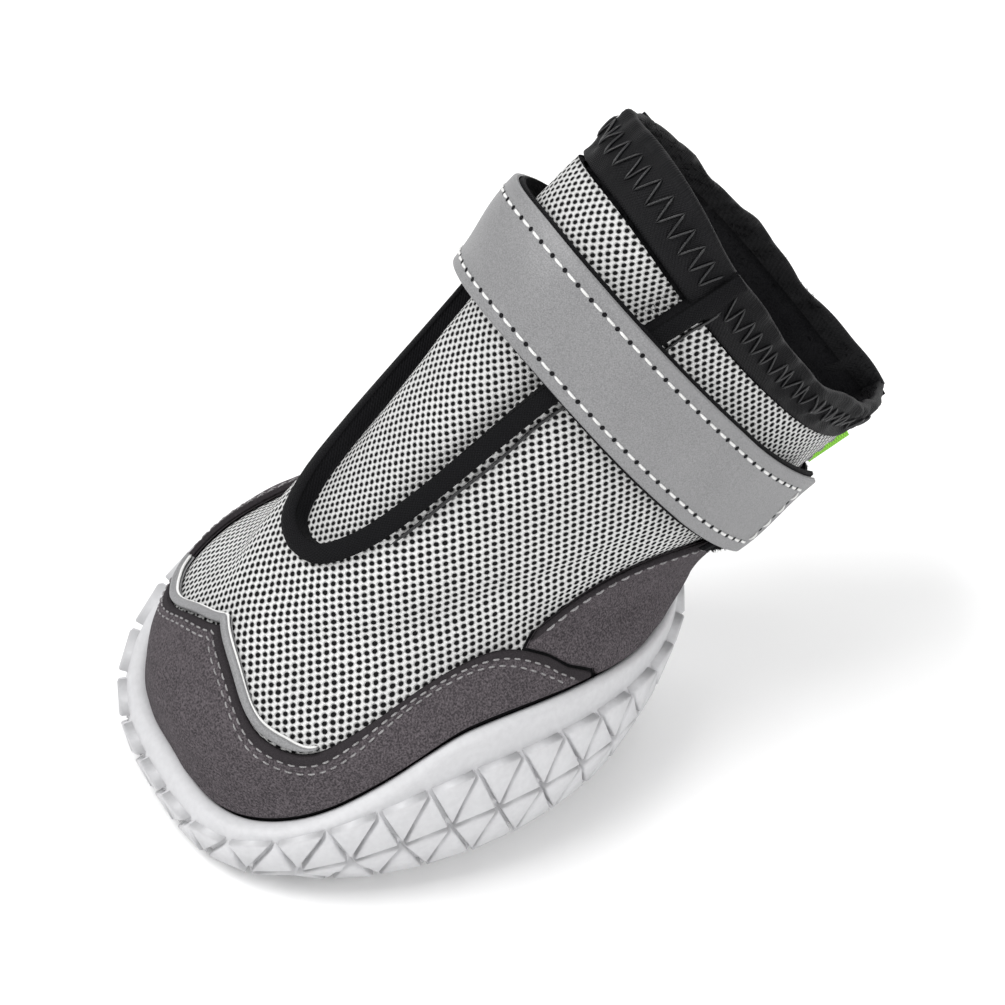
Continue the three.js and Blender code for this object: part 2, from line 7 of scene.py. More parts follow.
import logging
from dataclasses import dataclass, field
from enum import Enum
from typing import Any, Callable, Optional, Sequence

import bmesh
import bpy
import numpy as np
from mathutils import Matrix, Vector


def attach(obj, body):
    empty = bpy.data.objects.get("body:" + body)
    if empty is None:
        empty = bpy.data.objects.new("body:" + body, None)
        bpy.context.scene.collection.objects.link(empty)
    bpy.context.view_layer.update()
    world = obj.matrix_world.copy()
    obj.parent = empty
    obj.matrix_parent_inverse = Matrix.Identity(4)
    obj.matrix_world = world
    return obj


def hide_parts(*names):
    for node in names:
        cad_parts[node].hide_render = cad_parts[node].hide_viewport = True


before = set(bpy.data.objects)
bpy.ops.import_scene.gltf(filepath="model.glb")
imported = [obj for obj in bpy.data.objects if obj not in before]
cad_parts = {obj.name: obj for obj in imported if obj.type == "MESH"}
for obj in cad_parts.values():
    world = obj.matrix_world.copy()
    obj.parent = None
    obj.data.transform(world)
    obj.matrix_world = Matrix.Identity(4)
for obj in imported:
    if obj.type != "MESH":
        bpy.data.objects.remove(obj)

LOG = logging.getLogger("dog_boot")
Array = np.ndarray
Colour = tuple[float, float, float]
MM = 0.001
SEED = 11
BODY = "root"
RIM = 8.0
BAND = 7.55
THROAT = 5.1
SOLE_LINE = 2.0


@dataclass(frozen=True)
class Size:
    """Driving sizes of the boot and its materials, in millimetres."""

    length: float = 96.0
    ball_width: float = 72.0
    shaft_width: float = 42.0
    toe_height: float = 39.0
    throat_height: float = 48.0
    collar_height: float = 112.0
    collar_back_height: float = 42.0
    collar_front_reach: float = 36.0
    collar_back_reach: float = 87.0
    sole_side_height: float = 27.0
    heel_sole_height: float = 19.0
    toe_sole_height: float = 10.0
    gap: float = 0.3
    rubber: float = 2.6
    cup_lip: float = 2.2
    wall: float = 1.6
    suede: float = 1.1
    lug: float = 1.8
    floor: float = 2.6
    insole: float = 2.5


class Curve:
    """A table of (place, value) pairs read with a smooth curve through its points."""

    def __init__(self, pairs: Sequence[tuple[float, float]]) -> None:
        """Keeps the table and the slope at each point.

        Args:
            pairs: Places in rising order, each with its value.
        """
        self.x = np.array([p[0] for p in pairs], float)
        self.y = np.array([p[1] for p in pairs], float)
        low = np.maximum(np.arange(len(pairs)) - 1, 0)
        high = np.minimum(np.arange(len(pairs)) + 1, len(pairs) - 1)
        self.slope = (self.y[high] - self.y[low]) / (self.x[high] - self.x[low])

    def __call__(self, at: Array) -> Array:
        """Returns the values at the places, held level beyond the ends."""
        at = np.clip(np.asarray(at, float), self.x[0], self.x[-1])
        i = np.clip(np.searchsorted(self.x, at, "right") - 1, 0, len(self.x) - 2)
        h = self.x[i + 1] - self.x[i]
        s = (at - self.x[i]) / h
        a = s * s * (3 - 2 * s)
        bend = (1 - s) * self.slope[i] - s * self.slope[i + 1]
        return self.y[i] * (1 - a) + self.y[i + 1] * a + h * s * (1 - s) * bend


@dataclass(frozen=True)
class Row:
    """One girth row: its front, widest and back points, how round its plan is and its slip.

    Slip is how far the soft shaft's near side has slid down and forward.
    """

    front_y: Any
    front_z: Any
    side_y: Any
    side_z: Any
    half: Any
    back_y: Any
    back_z: Any
    front_round: Any
    back_round: Any
    rise: Any
    slip: Any

    def at(self, angle: Array) -> Array:
        """Returns the row's points at the angles, 0 at the toe and 180 at the back seam."""
        turn = np.radians(angle)
        along, across = np.cos(turn), np.sin(turn)
        front, reach = along >= 0, np.abs(along)
        rounding = np.where(front, self.front_round, self.back_round)
        x = np.sign(across) * self.half * np.abs(across) ** rounding
        y = self.side_y + (np.where(front, self.front_y, self.back_y) - self.side_y) * reach
        end = np.where(front, self.front_z, self.back_z)
        z = self.side_z + (end - self.side_z) * reach**self.rise
        down = self.slip * across**2 * np.where(across > 0, 1.0, -0.5)
        y, z = y - 0.8 * down, z - 0.6 * down
        return np.stack(np.broadcast_arrays(x, y, z), -1)

    def seated(self, inset: float, lift: float) -> "Row":
        """Returns the row that seats inside this one, drawn in and lifted."""
        return Row(
            self.front_y + inset, self.front_z + lift, self.side_y, self.side_z + lift,
            self.half - inset, self.back_y - inset, self.back_z + lift,
            self.front_round, self.back_round, self.rise, self.slip,
        )


def unit(v: Array) -> Array:
    """Returns the vectors at length one."""
    return v / np.maximum(np.linalg.norm(v, axis=-1, keepdims=True), 1e-12)


def smoothstep(x: Array, low: float, high: float) -> Array:
    """Returns 0 below low, 1 above high and a smooth rise between."""
    t = np.clip((np.asarray(x, float) - low) / (high - low), 0, 1)
    return t * t * (3 - 2 * t)


def fold(angle: Array) -> Array:
    """Returns the angle from the toe, 0 to 180, on either side."""
    return 180 - np.abs(np.mod(angle, 360) - 180)


def wrap(angle: Array) -> Array:
    """Returns the angle between -180 and 180, negative on the far side."""
    return np.mod(np.asarray(angle, float) + 180, 360) - 180


class Last:
    """The boot's form: the upper's skin over angle and v, and the sole's outer face."""

    LIP_EDGE = [(0, 2), (45, 1.76), (70, 1.93), (92, 2.3), (112, 2.25), (135, 2.05), (180, 2)]
    GRAIN = (0.0, 0.6, 0.8)
    THROAT_ARMS = [
        (THROAT, 0), (THROAT + 0.02, 7), (THROAT + 0.08, 13), (THROAT + 0.21, 20),
        (THROAT + 0.47, 27), (THROAT + 0.9, 34.5), (7, 47), (8, 52),
    ]

    def __init__(self, size: Size) -> None:
        """Works out the rows and the lengths over the skin.

        Args:
            size: Driving sizes.
        """
        self.size = size
        half_length, half_ball = size.length / 2, size.ball_width / 2
        half_shaft, heel, lug = size.shaft_width / 2, size.heel_sole_height, size.lug
        self.sole_flat = Row(
            -0.74 * half_length, lug, -3, lug, 0.67 * half_ball, 0.56 * half_length, lug,
            0.7, 0.8, 2, 0,
        )
        self.sole_wide = Row(
            lug - half_length, 0.4 * size.toe_sole_height, -8, 0.3 * size.sole_side_height,
            half_ball - lug, half_length - lug, 0.68 * heel, 0.61, 1.35, 2, 0,
        )
        self.sole_top = Row(
            -0.935 * half_length, size.toe_sole_height, -7, size.sole_side_height,
            0.915 * half_ball, 0.985 * half_length, heel, 0.63, 1.2, 2, 0,
        )
        rows = [
            self.sole_flat.seated(0.5, size.floor + 0.5),
            self.sole_wide.seated(size.rubber + size.gap, 2),
            self.sole_top.seated(size.cup_lip + size.gap, 0),
            Row(-0.9 * half_length, 0.6 * size.toe_height, -6, 0.83 * size.toe_height,
                0.77 * half_ball, 0.99 * half_length, heel + 3, 0.88, 1.12, 2, 0),
            Row(-0.69 * half_length, size.toe_height, 0, 0.97 * size.toe_height,
                0.64 * half_ball, 1.05 * half_length, heel + 5.5, 1.08, 1.05, 1.8, 0),
            Row(-0.51 * half_length, size.throat_height, 9, 0.94 * size.throat_height,
                0.59 * half_ball, 1.12 * half_length, heel + 7.5, 0.84, 1.05, 1.5, 0.3),
            Row(0.17 * half_length, 0.755 * size.collar_height, 31, 0.51 * size.collar_height,
                1.04 * half_shaft, 0.69 * size.collar_back_reach,
                0.71 * size.collar_back_height, 0.95, 1.25, 1, 1.8),
            Row(0.5 * size.collar_front_reach, 0.885 * size.collar_height, 45,
                0.61 * size.collar_height, 1.02 * half_shaft, 0.82 * size.collar_back_reach,
                0.83 * size.collar_back_height, 0.84, 1.55, 1, 3.8),
            Row(size.collar_front_reach, size.collar_height, 60, 0.7 * size.collar_height,
                half_shaft, size.collar_back_reach, size.collar_back_height, 0.7, 1.7, 1, 5.4),
        ]
        names = list(Row.__dataclass_fields__)
        self.columns = {
            name: Curve([(v, getattr(row, name)) for v, row in enumerate(rows)]) for name in names
        }
        self.lip_curve = Curve(self.LIP_EDGE)
        self.arm_curve = Curve(self.THROAT_ARMS)
        self._measure()

    def _measure(self) -> None:
        """Works out lengths round and up the skin, and the mesh's own grain."""
        self.angles = np.linspace(-180, 180, 361)
        self.levels = np.linspace(0, RIM + 0.3, 416)
        a, v = np.meshgrid(self.angles, self.levels, indexing="ij")
        p = self.skin(a, v)
        around = np.linalg.norm(np.diff(p, axis=0), axis=-1)
        up = np.linalg.norm(np.diff(p, axis=1), axis=-1)
        run = np.vstack([np.zeros((1, len(self.levels))), np.cumsum(around, 0)])
        self.round_length = run - run[180]
        self.up_length = np.hstack([np.zeros((len(self.angles), 1)), np.cumsum(up, 1)])
        height = p @ np.array(self.GRAIN)
        self.slices = np.linspace(-40, 125, 331)
        cut = np.stack([
            np.stack([np.interp(self.slices, height[k], p[k, :, axis]) for axis in range(3)], -1)
            for k in range(len(self.angles))
        ])
        around = np.linalg.norm(np.diff(cut, axis=0), axis=-1)
        run = np.vstack([np.zeros((1, len(self.slices))), np.cumsum(around, 0)])
        self.slice_length = run - run[180]

    def _read(self, table: Array, angle: Array, step: Array) -> Array:
        """Returns a table's value between its angles and its steps."""
        i = np.clip(angle + 180, 0, 359.999)
        j = np.clip(step, 0, table.shape[1] - 1.001)
        i0, j0 = i.astype(int), j.astype(int)
        s, t = i - i0, j - j0
        low = table[i0, j0] * (1 - s) + table[i0 + 1, j0] * s
        high = table[i0, j0 + 1] * (1 - s) + table[i0 + 1, j0 + 1] * s
        return low * (1 - t) + high * t

    def skin(self, angle: Array, v: Array) -> Array:
        """Returns points of the upper's outer skin; beyond the rim it runs straight on."""
        angle, v = np.broadcast_arrays(np.asarray(angle, float), np.asarray(v, float))
        at = np.minimum(v, RIM)
        p = Row(**{name: curve(at) for name, curve in self.columns.items()}).at(angle)
        over = np.maximum(v - RIM, 0)[..., None] / 0.3
        if np.any(over > 0):
            below = Row(**{n: c(np.full_like(at, RIM - 0.3)) for n, c in self.columns.items()})
            p = p + (p - below.at(angle)) * over
        return p

    def normal(self, angle: Array, v: Array, surface: Optional[Callable] = None) -> Array:
        """Returns the outward direction of a surface, the skin unless another is given."""
        surface = surface or self.skin
        angle, v = np.asarray(angle, float), np.asarray(v, float)
        around = surface(angle + 1.5, v) - surface(angle - 1.5, v)
        up = surface(angle, v + 0.04) - surface(angle, v - 0.04)
        return unit(np.cross(around, up))

    def raised(self, angle: Array, v: Array, offset: float | Array) -> Array:
        """Returns points of the skin moved outward by the offset."""
        return self.skin(angle, v) + self.normal(angle, v) * np.asarray(offset)[..., None]

    def lip(self, angle: Array) -> Array:
        """Returns v of the rubber's top line."""
        return self.lip_curve(fold(angle))

    def throat_half(self, v: Array) -> Array:
        """Returns the half angle of the throat opening at v."""
        return self.arm_curve(v)

    def higher(self, angle: Array, v: Array, distance: Array) -> Array:
        """Returns v at a distance further up the skin."""
        angle, v, distance = np.broadcast_arrays(wrap(angle), v, distance)
        want = self._read(self.up_length, angle, v / self.levels[1]) + distance
        out = np.empty(angle.size)
        for k, (a, goal) in enumerate(zip(angle.ravel() + 180, want.ravel())):
            i = min(int(a), 359)
            s = a - i
            run = self.up_length[i] * (1 - s) + self.up_length[i + 1] * s
            out[k] = np.interp(goal, run, self.levels)
        return out.reshape(angle.shape)

    def flat(self, angle: Array, v: Array) -> Array:
        """Returns places in millimetres: length round from the toe and length up the skin."""
        angle, v = np.broadcast_arrays(np.asarray(angle, float), np.asarray(v, float))
        step = v / self.levels[1]
        u = self._read(self.round_length, wrap(angle), step)
        ends = [self._read(self.round_length, np.full_like(u, end), step) for end in (-180.0, 180.0)]
        u = np.where(angle > 180, u - ends[0] + ends[1], np.where(angle == 180, ends[1], u))
        return np.stack([u, self._read(self.up_length, wrap(angle), step)], -1)

    def grain(self, angle: Array, v: Array) -> Array:
        """Returns places in millimetres on the mesh: round level cuts, and across them."""
        angle, v = np.broadcast_arrays(np.asarray(angle, float), np.asarray(v, float))
        height = self.skin(angle, v) @ np.array(self.GRAIN)
        step = (height - self.slices[0]) / (self.slices[1] - self.slices[0])
        return np.stack([self._read(self.slice_length, angle, step), height], -1)

    def cup(self, angle: Array, v: Array) -> Array:
        """Returns the sole's outer face: v 0 at its flat, 1 at its widest line, 2 at its top."""
        angle, v = np.broadcast_arrays(np.asarray(angle, float), np.asarray(v, float))
        low, wide, top = (row.at(angle) for row in (self.sole_flat, self.sole_wide, self.sole_top))
        q = np.clip(v, 0, 1)[..., None] * np.pi / 2
        under = low + (wide - low) * np.sin(q)
        under[..., 2] = (low + (wide - low) * (1 - np.cos(q)))[..., 2]
        up = (np.clip(v, 1, SOLE_LINE) - 1)[..., None]
        out = wide - low
        out[..., 2] = 0
        wall = wide + (top - wide) * up + unit(out) * 1.2 * np.sin(np.pi * up)
        over = self.skin(angle, np.maximum(v, SOLE_LINE)) - self.skin(angle, SOLE_LINE)
        return np.where(v[..., None] <= 1, under, wall + over)


class Wobble:
    """Smooth irregular waves over a surface, the same on every run."""

    def __init__(self, seed: int, wave: float, count: int = 9) -> None:
        """Draws the waves.

        Args:
            seed: Fixed seed.
            wave: Usual wavelength in millimetres.
            count: Number of waves that are summed.
        """
        rng = np.random.default_rng(seed)
        turn = rng.uniform(0, 2 * np.pi, count)
        rate = 2 * np.pi / (wave * rng.uniform(0.6, 1.8, count))
        self.rates = np.stack([np.cos(turn) * rate, np.sin(turn) * rate])
        self.phase = rng.uniform(0, 2 * np.pi, count)

    def __call__(self, place: Array) -> Array:
        """Returns values of about -1 to 1 at flat places in millimetres."""
        return np.sin(place @ self.rates + self.phase).sum(-1) / np.sqrt(2 * len(self.phase))


class Builder:
    """Gathers grids and small repeated forms into one mesh, in millimetres."""

    def __init__(self, name: str) -> None:
        """Starts an empty mesh with this name."""
        self.name = name
        self.points: list[Array] = []
        self.places: list[Array] = []
        self.faces: list[Array] = []
        self.paint: list[Array] = []
        self.count = 0

    def put(self, points: Array, faces: Array, places: Optional[Array] = None, paint: Any = 0) -> None:
        """Adds points and the faces between them.

        Args:
            points: Points, one row each.
            faces: Indices into these points, one face a row.
            places: Flat place of each point in millimetres.
            paint: Which of the mesh's finishes the faces have, one number or one a face.
        """
        points = points.reshape(-1, 3)
        self.points.append(points)
        flat = points[:, :2] if places is None else places.reshape(-1, 2)
        self.places.append(flat)
        self.faces.append(faces + self.count)
        self.paint.append(np.broadcast_to(np.asarray(paint, int).ravel(), len(faces)))
        self.count += len(points)

    def grid(self, points: Array, places: Optional[Array] = None, flip: bool = False,
             paint: Any = 0) -> None:
        """Adds a grid of points as quads that face along its first cross its second direction."""
        n, m = points.shape[:2]
        index = np.arange(n * m).reshape(n, m)
        quads = np.stack([index[:-1, :-1], index[1:, :-1], index[1:, 1:], index[:-1, 1:]], -1)
        quads = quads.reshape(-1, 4)
        self.put(points, quads[:, ::-1] if flip else quads, places, paint)

    def slab(self, outer: Array, inner: Array, places: Optional[Array] = None, lined: int = 0) -> None:
        """Adds a sheet with thickness, closed along all four edges; lined paints all but its face."""
        self.grid(outer, places)
        self.grid(inner, places, flip=True, paint=lined)
        for edge, flip in ((0, True), (-1, False)):
            for side, turned in ((lambda g: g[edge], flip), (lambda g: g[:, edge], not flip)):
                strip = np.stack([side(outer), side(inner)])
                flats = None if places is None else np.stack([side(places)] * 2)
                self.grid(strip, flats, flip=not turned, paint=lined)

    def copies(self, form: Array, faces: Array, centres: Array, axes: Array) -> None:
        """Adds a small form once at each centre.

        Args:
            form: The form's points.
            faces: The form's faces.
            centres: Where each copy stands.
            axes: Three directions of each copy, as rows.
        """
        points = centres[:, None, :] + np.einsum("kp,spc->skc", form, axes)
        shift = np.arange(len(centres))[:, None, None] * len(form)
        flats = np.broadcast_to(form[None, :, :2], (len(centres), len(form), 2))
        self.put(points, (faces[None] + shift).reshape(-1, faces.shape[1]), flats)

    def tube(self, path: Array, radius: float, sides: int = 6) -> None:
        """Adds a round cord along a path, with closed ends."""
        along = unit(np.gradient(path, axis=0))
        side = unit(np.cross(along, np.array([0.13, 0.31, 0.94])))
        up = np.cross(side, along)
        turn = np.linspace(0, 2 * np.pi, sides + 1)
        size = np.full(len(path), radius)
        size[[0, -1]] = radius * 0.05
        ring = np.cos(turn)[:, None, None] * side[None] + np.sin(turn)[:, None, None] * up[None]
        self.grid(path[None] + ring * size[None, :, None], flip=True)

    def build(self, finish: "Finish", slot: str, *nodes: str,
              lining: Optional["Finish"] = None) -> bpy.types.Object:
        """Makes the mesh object and ties it to the frame.

        Args:
            finish: Its finish.
            slot: Name of a material slot; not used.
            nodes: CAD nodes that it replaces.
            lining: Second finish, for the faces painted 1.

        Returns:
            The object, in metres.
        """
        mesh = bpy.data.meshes.new(self.name)
        points = np.concatenate(self.points) * MM
        loops = np.concatenate([f.ravel() for f in self.faces]).astype(np.int32)
        sizes = np.concatenate([np.full(len(f), f.shape[1]) for f in self.faces])
        starts = np.concatenate([[0], np.cumsum(sizes)[:-1]]).astype(np.int32)
        mesh.vertices.add(len(points))
        mesh.vertices.foreach_set("co", points.ravel())
        mesh.loops.add(len(loops))
        mesh.loops.foreach_set("vertex_index", loops)
        mesh.polygons.add(len(sizes))
        mesh.polygons.foreach_set("loop_start", starts)
        mesh.update(calc_edges=True)
        mesh.polygons.foreach_set("material_index", np.concatenate(self.paint).astype(np.int32))
        layer = mesh.uv_layers.new(name="cloth")
        layer.data.foreach_set("uv", np.concatenate(self.places)[loops].ravel())
        work = bmesh.new()
        work.from_mesh(mesh)
        bmesh.ops.remove_doubles(work, verts=work.verts, dist=0.002 * MM)
        work.to_mesh(mesh)
        work.free()
        mesh.validate()
        mesh.polygons.foreach_set("use_smooth", np.ones(len(mesh.polygons), bool))
        for kind in filter(None, (finish, lining)):
            mesh.materials.append(kind.material())
        obj = bpy.data.objects.new(self.name, mesh)
        bpy.context.scene.collection.objects.link(obj)
        if nodes:
            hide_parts(*nodes)
        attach(obj, BODY)
        LOG.info("%s: %d faces", self.name, len(mesh.polygons))
        return obj


# Shader helpers and shared node groups


class Shader:
    """Places and joins shader nodes in one tree."""

    def __init__(self, tree: bpy.types.NodeTree) -> None:
        """Works in this tree."""
        self.tree = tree

    def add(self, kind: str, inputs: dict[Any, Any], **settings: Any) -> bpy.types.Node:
        """Adds a node.

        Args:
            kind: Node type.
            inputs: Value or socket for each input, by name or place.
            settings: Node properties.

        Returns:
            The node.
        """
        node = self.tree.nodes.new(kind)
        for key, value in settings.items():
            setattr(node, key, value)
        for key, value in inputs.items():
            if isinstance(value, bpy.types.NodeSocket):
                self.tree.links.new(value, node.inputs[key])
            else:
                node.inputs[key].default_value = value
        return node

    def math(self, operation: str, *values: Any) -> bpy.types.NodeSocket:
        """Returns the result of a sum on numbers or sockets."""
        return self.add("ShaderNodeMath", dict(enumerate(values)), operation=operation).outputs[0]

    def ramp(self, value: Any, low: float, high: float, start: float = 0.0, end: float = 1.0) -> Any:
        """Returns a value that goes smoothly from start to end between low and high."""
        inputs = {0: value, 1: low, 2: high, 3: start, 4: end}
        node = self.add("ShaderNodeMapRange", inputs, interpolation_type="SMOOTHSTEP")
        return node.outputs[0]

    def mix(self, factor: Any, first: Any, second: Any) -> bpy.types.NodeSocket:
        """Returns a colour between two others."""
        node = self.add("ShaderNodeMix", {0: factor}, data_type="RGBA")
        for key, value in ((6, first), (7, second)):
            if isinstance(value, bpy.types.NodeSocket):
                self.tree.links.new(value, node.inputs[key])
            else:
                node.inputs[key].default_value = (*value, 1.0)
        return node.outputs[2]

    def noise(self, place: Any, scale: Any, detail: float = 2.0) -> bpy.types.NodeSocket:
        """Returns noise from 0 to 1 at a place."""
        inputs = {"Vector": place, "Scale": scale, "Detail": detail}
        return self.add("ShaderNodeTexNoise", inputs).outputs[0]


class Effect(Enum):
    """Shared effects, each a node group built once."""

    HOLES = "knit_holes"
    RIBS = "woven_ribs"
    MOTTLE = "fine_mottle"


def _group(name: str, inputs: dict[str, Any], outputs: Sequence[str]) -> tuple[Any, Shader, Any, Any]:
    """Starts a node group.

    Args:
        name: Its name.
        inputs: Name and default of each input; None is a vector.
        outputs: Names of its values.

    Returns:
        The group, a helper for it, and its input and output nodes.
    """
    tree = bpy.data.node_groups.new(name, "ShaderNodeTree")
    for key, value in inputs.items():
        kind = "NodeSocketVector" if value is None else "NodeSocketFloat"
        socket = tree.interface.new_socket(name=key, in_out="INPUT", socket_type=kind)
        if value is not None:
            socket.default_value = value
    for key in outputs:
        tree.interface.new_socket(name=key, in_out="OUTPUT", socket_type="NodeSocketFloat")
    return tree, Shader(tree), tree.nodes.new("NodeGroupInput"), tree.nodes.new("NodeGroupOutput")


def holes_group() -> bpy.types.NodeTree:
    """Returns the group for staggered rows of round holes with yarn between them."""
    sizes = {"Place": None, "Pitch": 1.45, "Row": 0.84, "Radius": 0.36}
    tree, s, given, out = _group(Effect.HOLES.value, sizes, ["Hole", "Height"])
    drift = s.add("ShaderNodeTexNoise", {"Vector": given.outputs["Place"], "Scale": 0.3})
    middle, sway = (0.5, 0.5, 0.5), (0.45, 0.45, 0.0)
    shift = s.add("ShaderNodeVectorMath", {0: drift.outputs["Color"], 1: middle}, operation="SUBTRACT")
    bent = s.add("ShaderNodeVectorMath", {0: shift.outputs[0], 1: sway, 2: given.outputs["Place"]},
                 operation="MULTIPLY_ADD")
    parts = s.add("ShaderNodeSeparateXYZ", {0: bent.outputs[0]})
    row = s.math("DIVIDE", parts.outputs[1], given.outputs["Row"])
    number = s.math("FLOOR", row)
    step = s.math("MULTIPLY", s.math("FLOORED_MODULO", number, 2.0), 0.5)
    column = s.math("ADD", s.math("DIVIDE", parts.outputs[0], given.outputs["Pitch"]), step)
    x = s.math("MULTIPLY", s.math("SUBTRACT", s.math("FRACT", column), 0.5), given.outputs["Pitch"])
    y = s.math("MULTIPLY", s.math("SUBTRACT", s.math("FRACT", row), 0.5), given.outputs["Row"])
    reach = s.math("SQRT", s.math("ADD", s.math("MULTIPLY", x, x), s.math("MULTIPLY", y, y)))
    share = s.math("DIVIDE", reach, given.outputs["Radius"])
    s.tree.links.new(s.ramp(share, 0.82, 1.08, 1.0, 0.0), out.inputs["Hole"])
    s.tree.links.new(s.ramp(share, 0.75, 1.6), out.inputs["Height"])
    return tree


def ribs_group() -> bpy.types.NodeTree:
    """Returns the group for fine woven ribs that cross a tape."""
    sizes = {"Place": None, "Rib": 0.6, "Cross": 0.5}
    tree, s, given, out = _group(Effect.RIBS.value, sizes, ["Height"])
    parts = s.add("ShaderNodeSeparateXYZ", {0: given.outputs["Place"]})
    waves = []
    for axis, name in enumerate(("Rib", "Cross")):
        turn = s.math("MULTIPLY", parts.outputs[axis], 2 * np.pi)
        waves.append(s.math("SINE", s.math("DIVIDE", turn, given.outputs[name])))
    height = s.math("MULTIPLY_ADD", s.math("MULTIPLY", *waves), 0.5, 0.5)
    s.tree.links.new(height, out.inputs["Height"])
    return tree


def mottle_group() -> bpy.types.NodeTree:
    """Returns the group for colour that varies gently at two scales."""
    sizes = {"Place": None, "Fine": 4000.0, "Broad": 120.0, "Share": 0.5}
    tree, s, given, out = _group(Effect.MOTTLE.value, sizes, ["Value"])
    fine, broad = (s.noise(given.outputs["Place"], given.outputs[name]) for name in ("Fine", "Broad"))
    value = s.math("MULTIPLY_ADD", s.math("SUBTRACT", broad, fine), given.outputs["Share"], fine)
    s.tree.links.new(value, out.inputs["Value"])
    return tree


GROUPS: dict[Effect, Callable[[], bpy.types.NodeTree]] = {
    Effect.HOLES: holes_group,
    Effect.RIBS: ribs_group,
    Effect.MOTTLE: mottle_group,
}


def effect(s: Shader, kind: Effect, inputs: dict[str, Any]) -> bpy.types.Node:
    """Places a shared effect in a material.

    Args:
        s: The material's helper.
        kind: Which effect.
        inputs: Its values.

    Returns:
        The group node.
    """
    tree = bpy.data.node_groups.get(kind.value) or GROUPS[kind]()
    node = s.tree.nodes.new("ShaderNodeGroup")
    node.node_tree = tree
    for key, value in inputs.items():
        if isinstance(value, bpy.types.NodeSocket):
            s.tree.links.new(value, node.inputs[key])
        else:
            node.inputs[key].default_value = value
    return node


@dataclass(frozen=True)
class Finish:
    """A finish: two colours that mottle mixes, how rough it is and how deep its grain."""

    name: str
    light: Colour
    dark: Colour
    roughness: float
    fine: float = 4000.0
    broad: float = 120.0
    share: float = 0.3
    grain: float = 0.05
    metallic: float = 0.0
    specular: float = 0.5

    def material(self) -> bpy.types.Material:
        """Returns the material, made on first use."""
        found = bpy.data.materials.get(self.name)
        if found:
            return found
        material = bpy.data.materials.new(self.name)
        material.use_nodes = True
        s = Shader(material.node_tree)
        shader = material.node_tree.nodes["Principled BSDF"]
        shader.inputs["Roughness"].default_value = self.roughness
        shader.inputs["Metallic"].default_value = self.metallic
        shader.inputs["Specular IOR Level"].default_value = self.specular
        place = s.add("ShaderNodeTexCoord", {}).outputs["Object"]
        cloth = s.add("ShaderNodeUVMap", {}, uv_map="cloth").outputs["UV"]
        scales = {"Place": place, "Fine": self.fine, "Broad": self.broad, "Share": self.share}
        mottle = effect(s, Effect.MOTTLE, scales)
        tint = s.ramp(mottle.outputs["Value"], 0.3, 0.7)
        colour, height = self.dress(s, s.mix(tint, self.dark, self.light), tint, cloth, place)
        bump = s.add("ShaderNodeBump", {"Height": height, "Distance": self.grain * MM, "Strength": 1.0})
        s.tree.links.new(bump.outputs["Normal"], shader.inputs["Normal"])
        s.tree.links.new(colour, shader.inputs["Base Color"])
        return material

    def dress(self, s: Shader, colour: Any, tint: Any, cloth: Any, place: Any) -> tuple[Any, Any]:
        """Returns the colour and the height of the surface; a plain grain here."""
        return colour, tint


@dataclass(frozen=True)
class KnitFinish(Finish):
    """Spacer mesh: light yarn round dark holes in staggered rows."""

    pitch: float = 1.45
    row: float = 0.84
    radius: float = 0.36
    depth: Colour = (0.003, 0.003, 0.0035)

    def dress(self, s: Shader, colour: Any, tint: Any, cloth: Any, place: Any) -> tuple[Any, Any]:
        """Returns the yarn's colour with painted shade where the yarn lies low round the holes, then its
        holes, and the yarn's rounded height.
        """
        sizes = {"Place": cloth, "Pitch": self.pitch, "Row": self.row, "Radius": self.radius}
        holes = effect(s, Effect.HOLES, sizes)
        yarn = s.noise(place, 4200.0, 1.0)
        relief = s.math("SUBTRACT", holes.outputs["Height"], 0.35)
        # Painted shade: low yarn round the holes is mixed towards a darker copy of the light colour.
        shade = s.ramp(s.math("MULTIPLY_ADD", yarn, 0.9, relief), 0.0, 0.8)
        darker = s.mix(shade, tuple(0.38 * c for c in self.light), colour)
        height = s.math("MULTIPLY_ADD", yarn, 0.3, holes.outputs["Height"])
        return s.mix(holes.outputs["Hole"], darker, self.depth), height


@dataclass(frozen=True)
class SuedeFinish(Finish):
    """Suede with a band of painted shade along its upper edge, where its stitched groove runs; the
    cloth's second place is the depth below it.
    """

    # How far below the upper edge the painted shade reaches, and how strongly it darkens.
    fold: float = 1.8
    edge_shade_strength: float = 0.92

    def dress(self, s: Shader, colour: Any, tint: Any, cloth: Any, place: Any) -> tuple[Any, Any]:
        """Returns the nap's colour, darker with painted shade near the upper edge, and its grain."""
        depth = s.add("ShaderNodeSeparateXYZ", {0: cloth}).outputs[1]
        plain = s.ramp(depth, self.fold - 0.35, self.fold + 0.25)
        # Painted shade: the band near the upper edge is mixed towards the dark colour.
        edge_shaded = s.mix(self.edge_shade_strength, colour, tuple(0.75 * c for c in self.dark))
        return s.mix(plain, edge_shaded, colour), tint


@dataclass(frozen=True)
class TapeFinish(Finish):
    """Woven tape or webbing with fine ribs."""

    rib: float = 0.6
    cross: float = 0.5

    def dress(self, s: Shader, colour: Any, tint: Any, cloth: Any, place: Any) -> tuple[Any, Any]:
        """Returns the yarn's colour with painted shade between the ribs, and the ribs' height."""
        ribs = effect(s, Effect.RIBS, {"Place": cloth, "Rib": self.rib, "Cross": self.cross})
        shaded = s.mix(ribs.outputs["Height"], tuple(0.4 * c for c in self.dark), colour)
        return shaded, s.math("MULTIPLY_ADD", tint, 0.35, ribs.outputs["Height"])


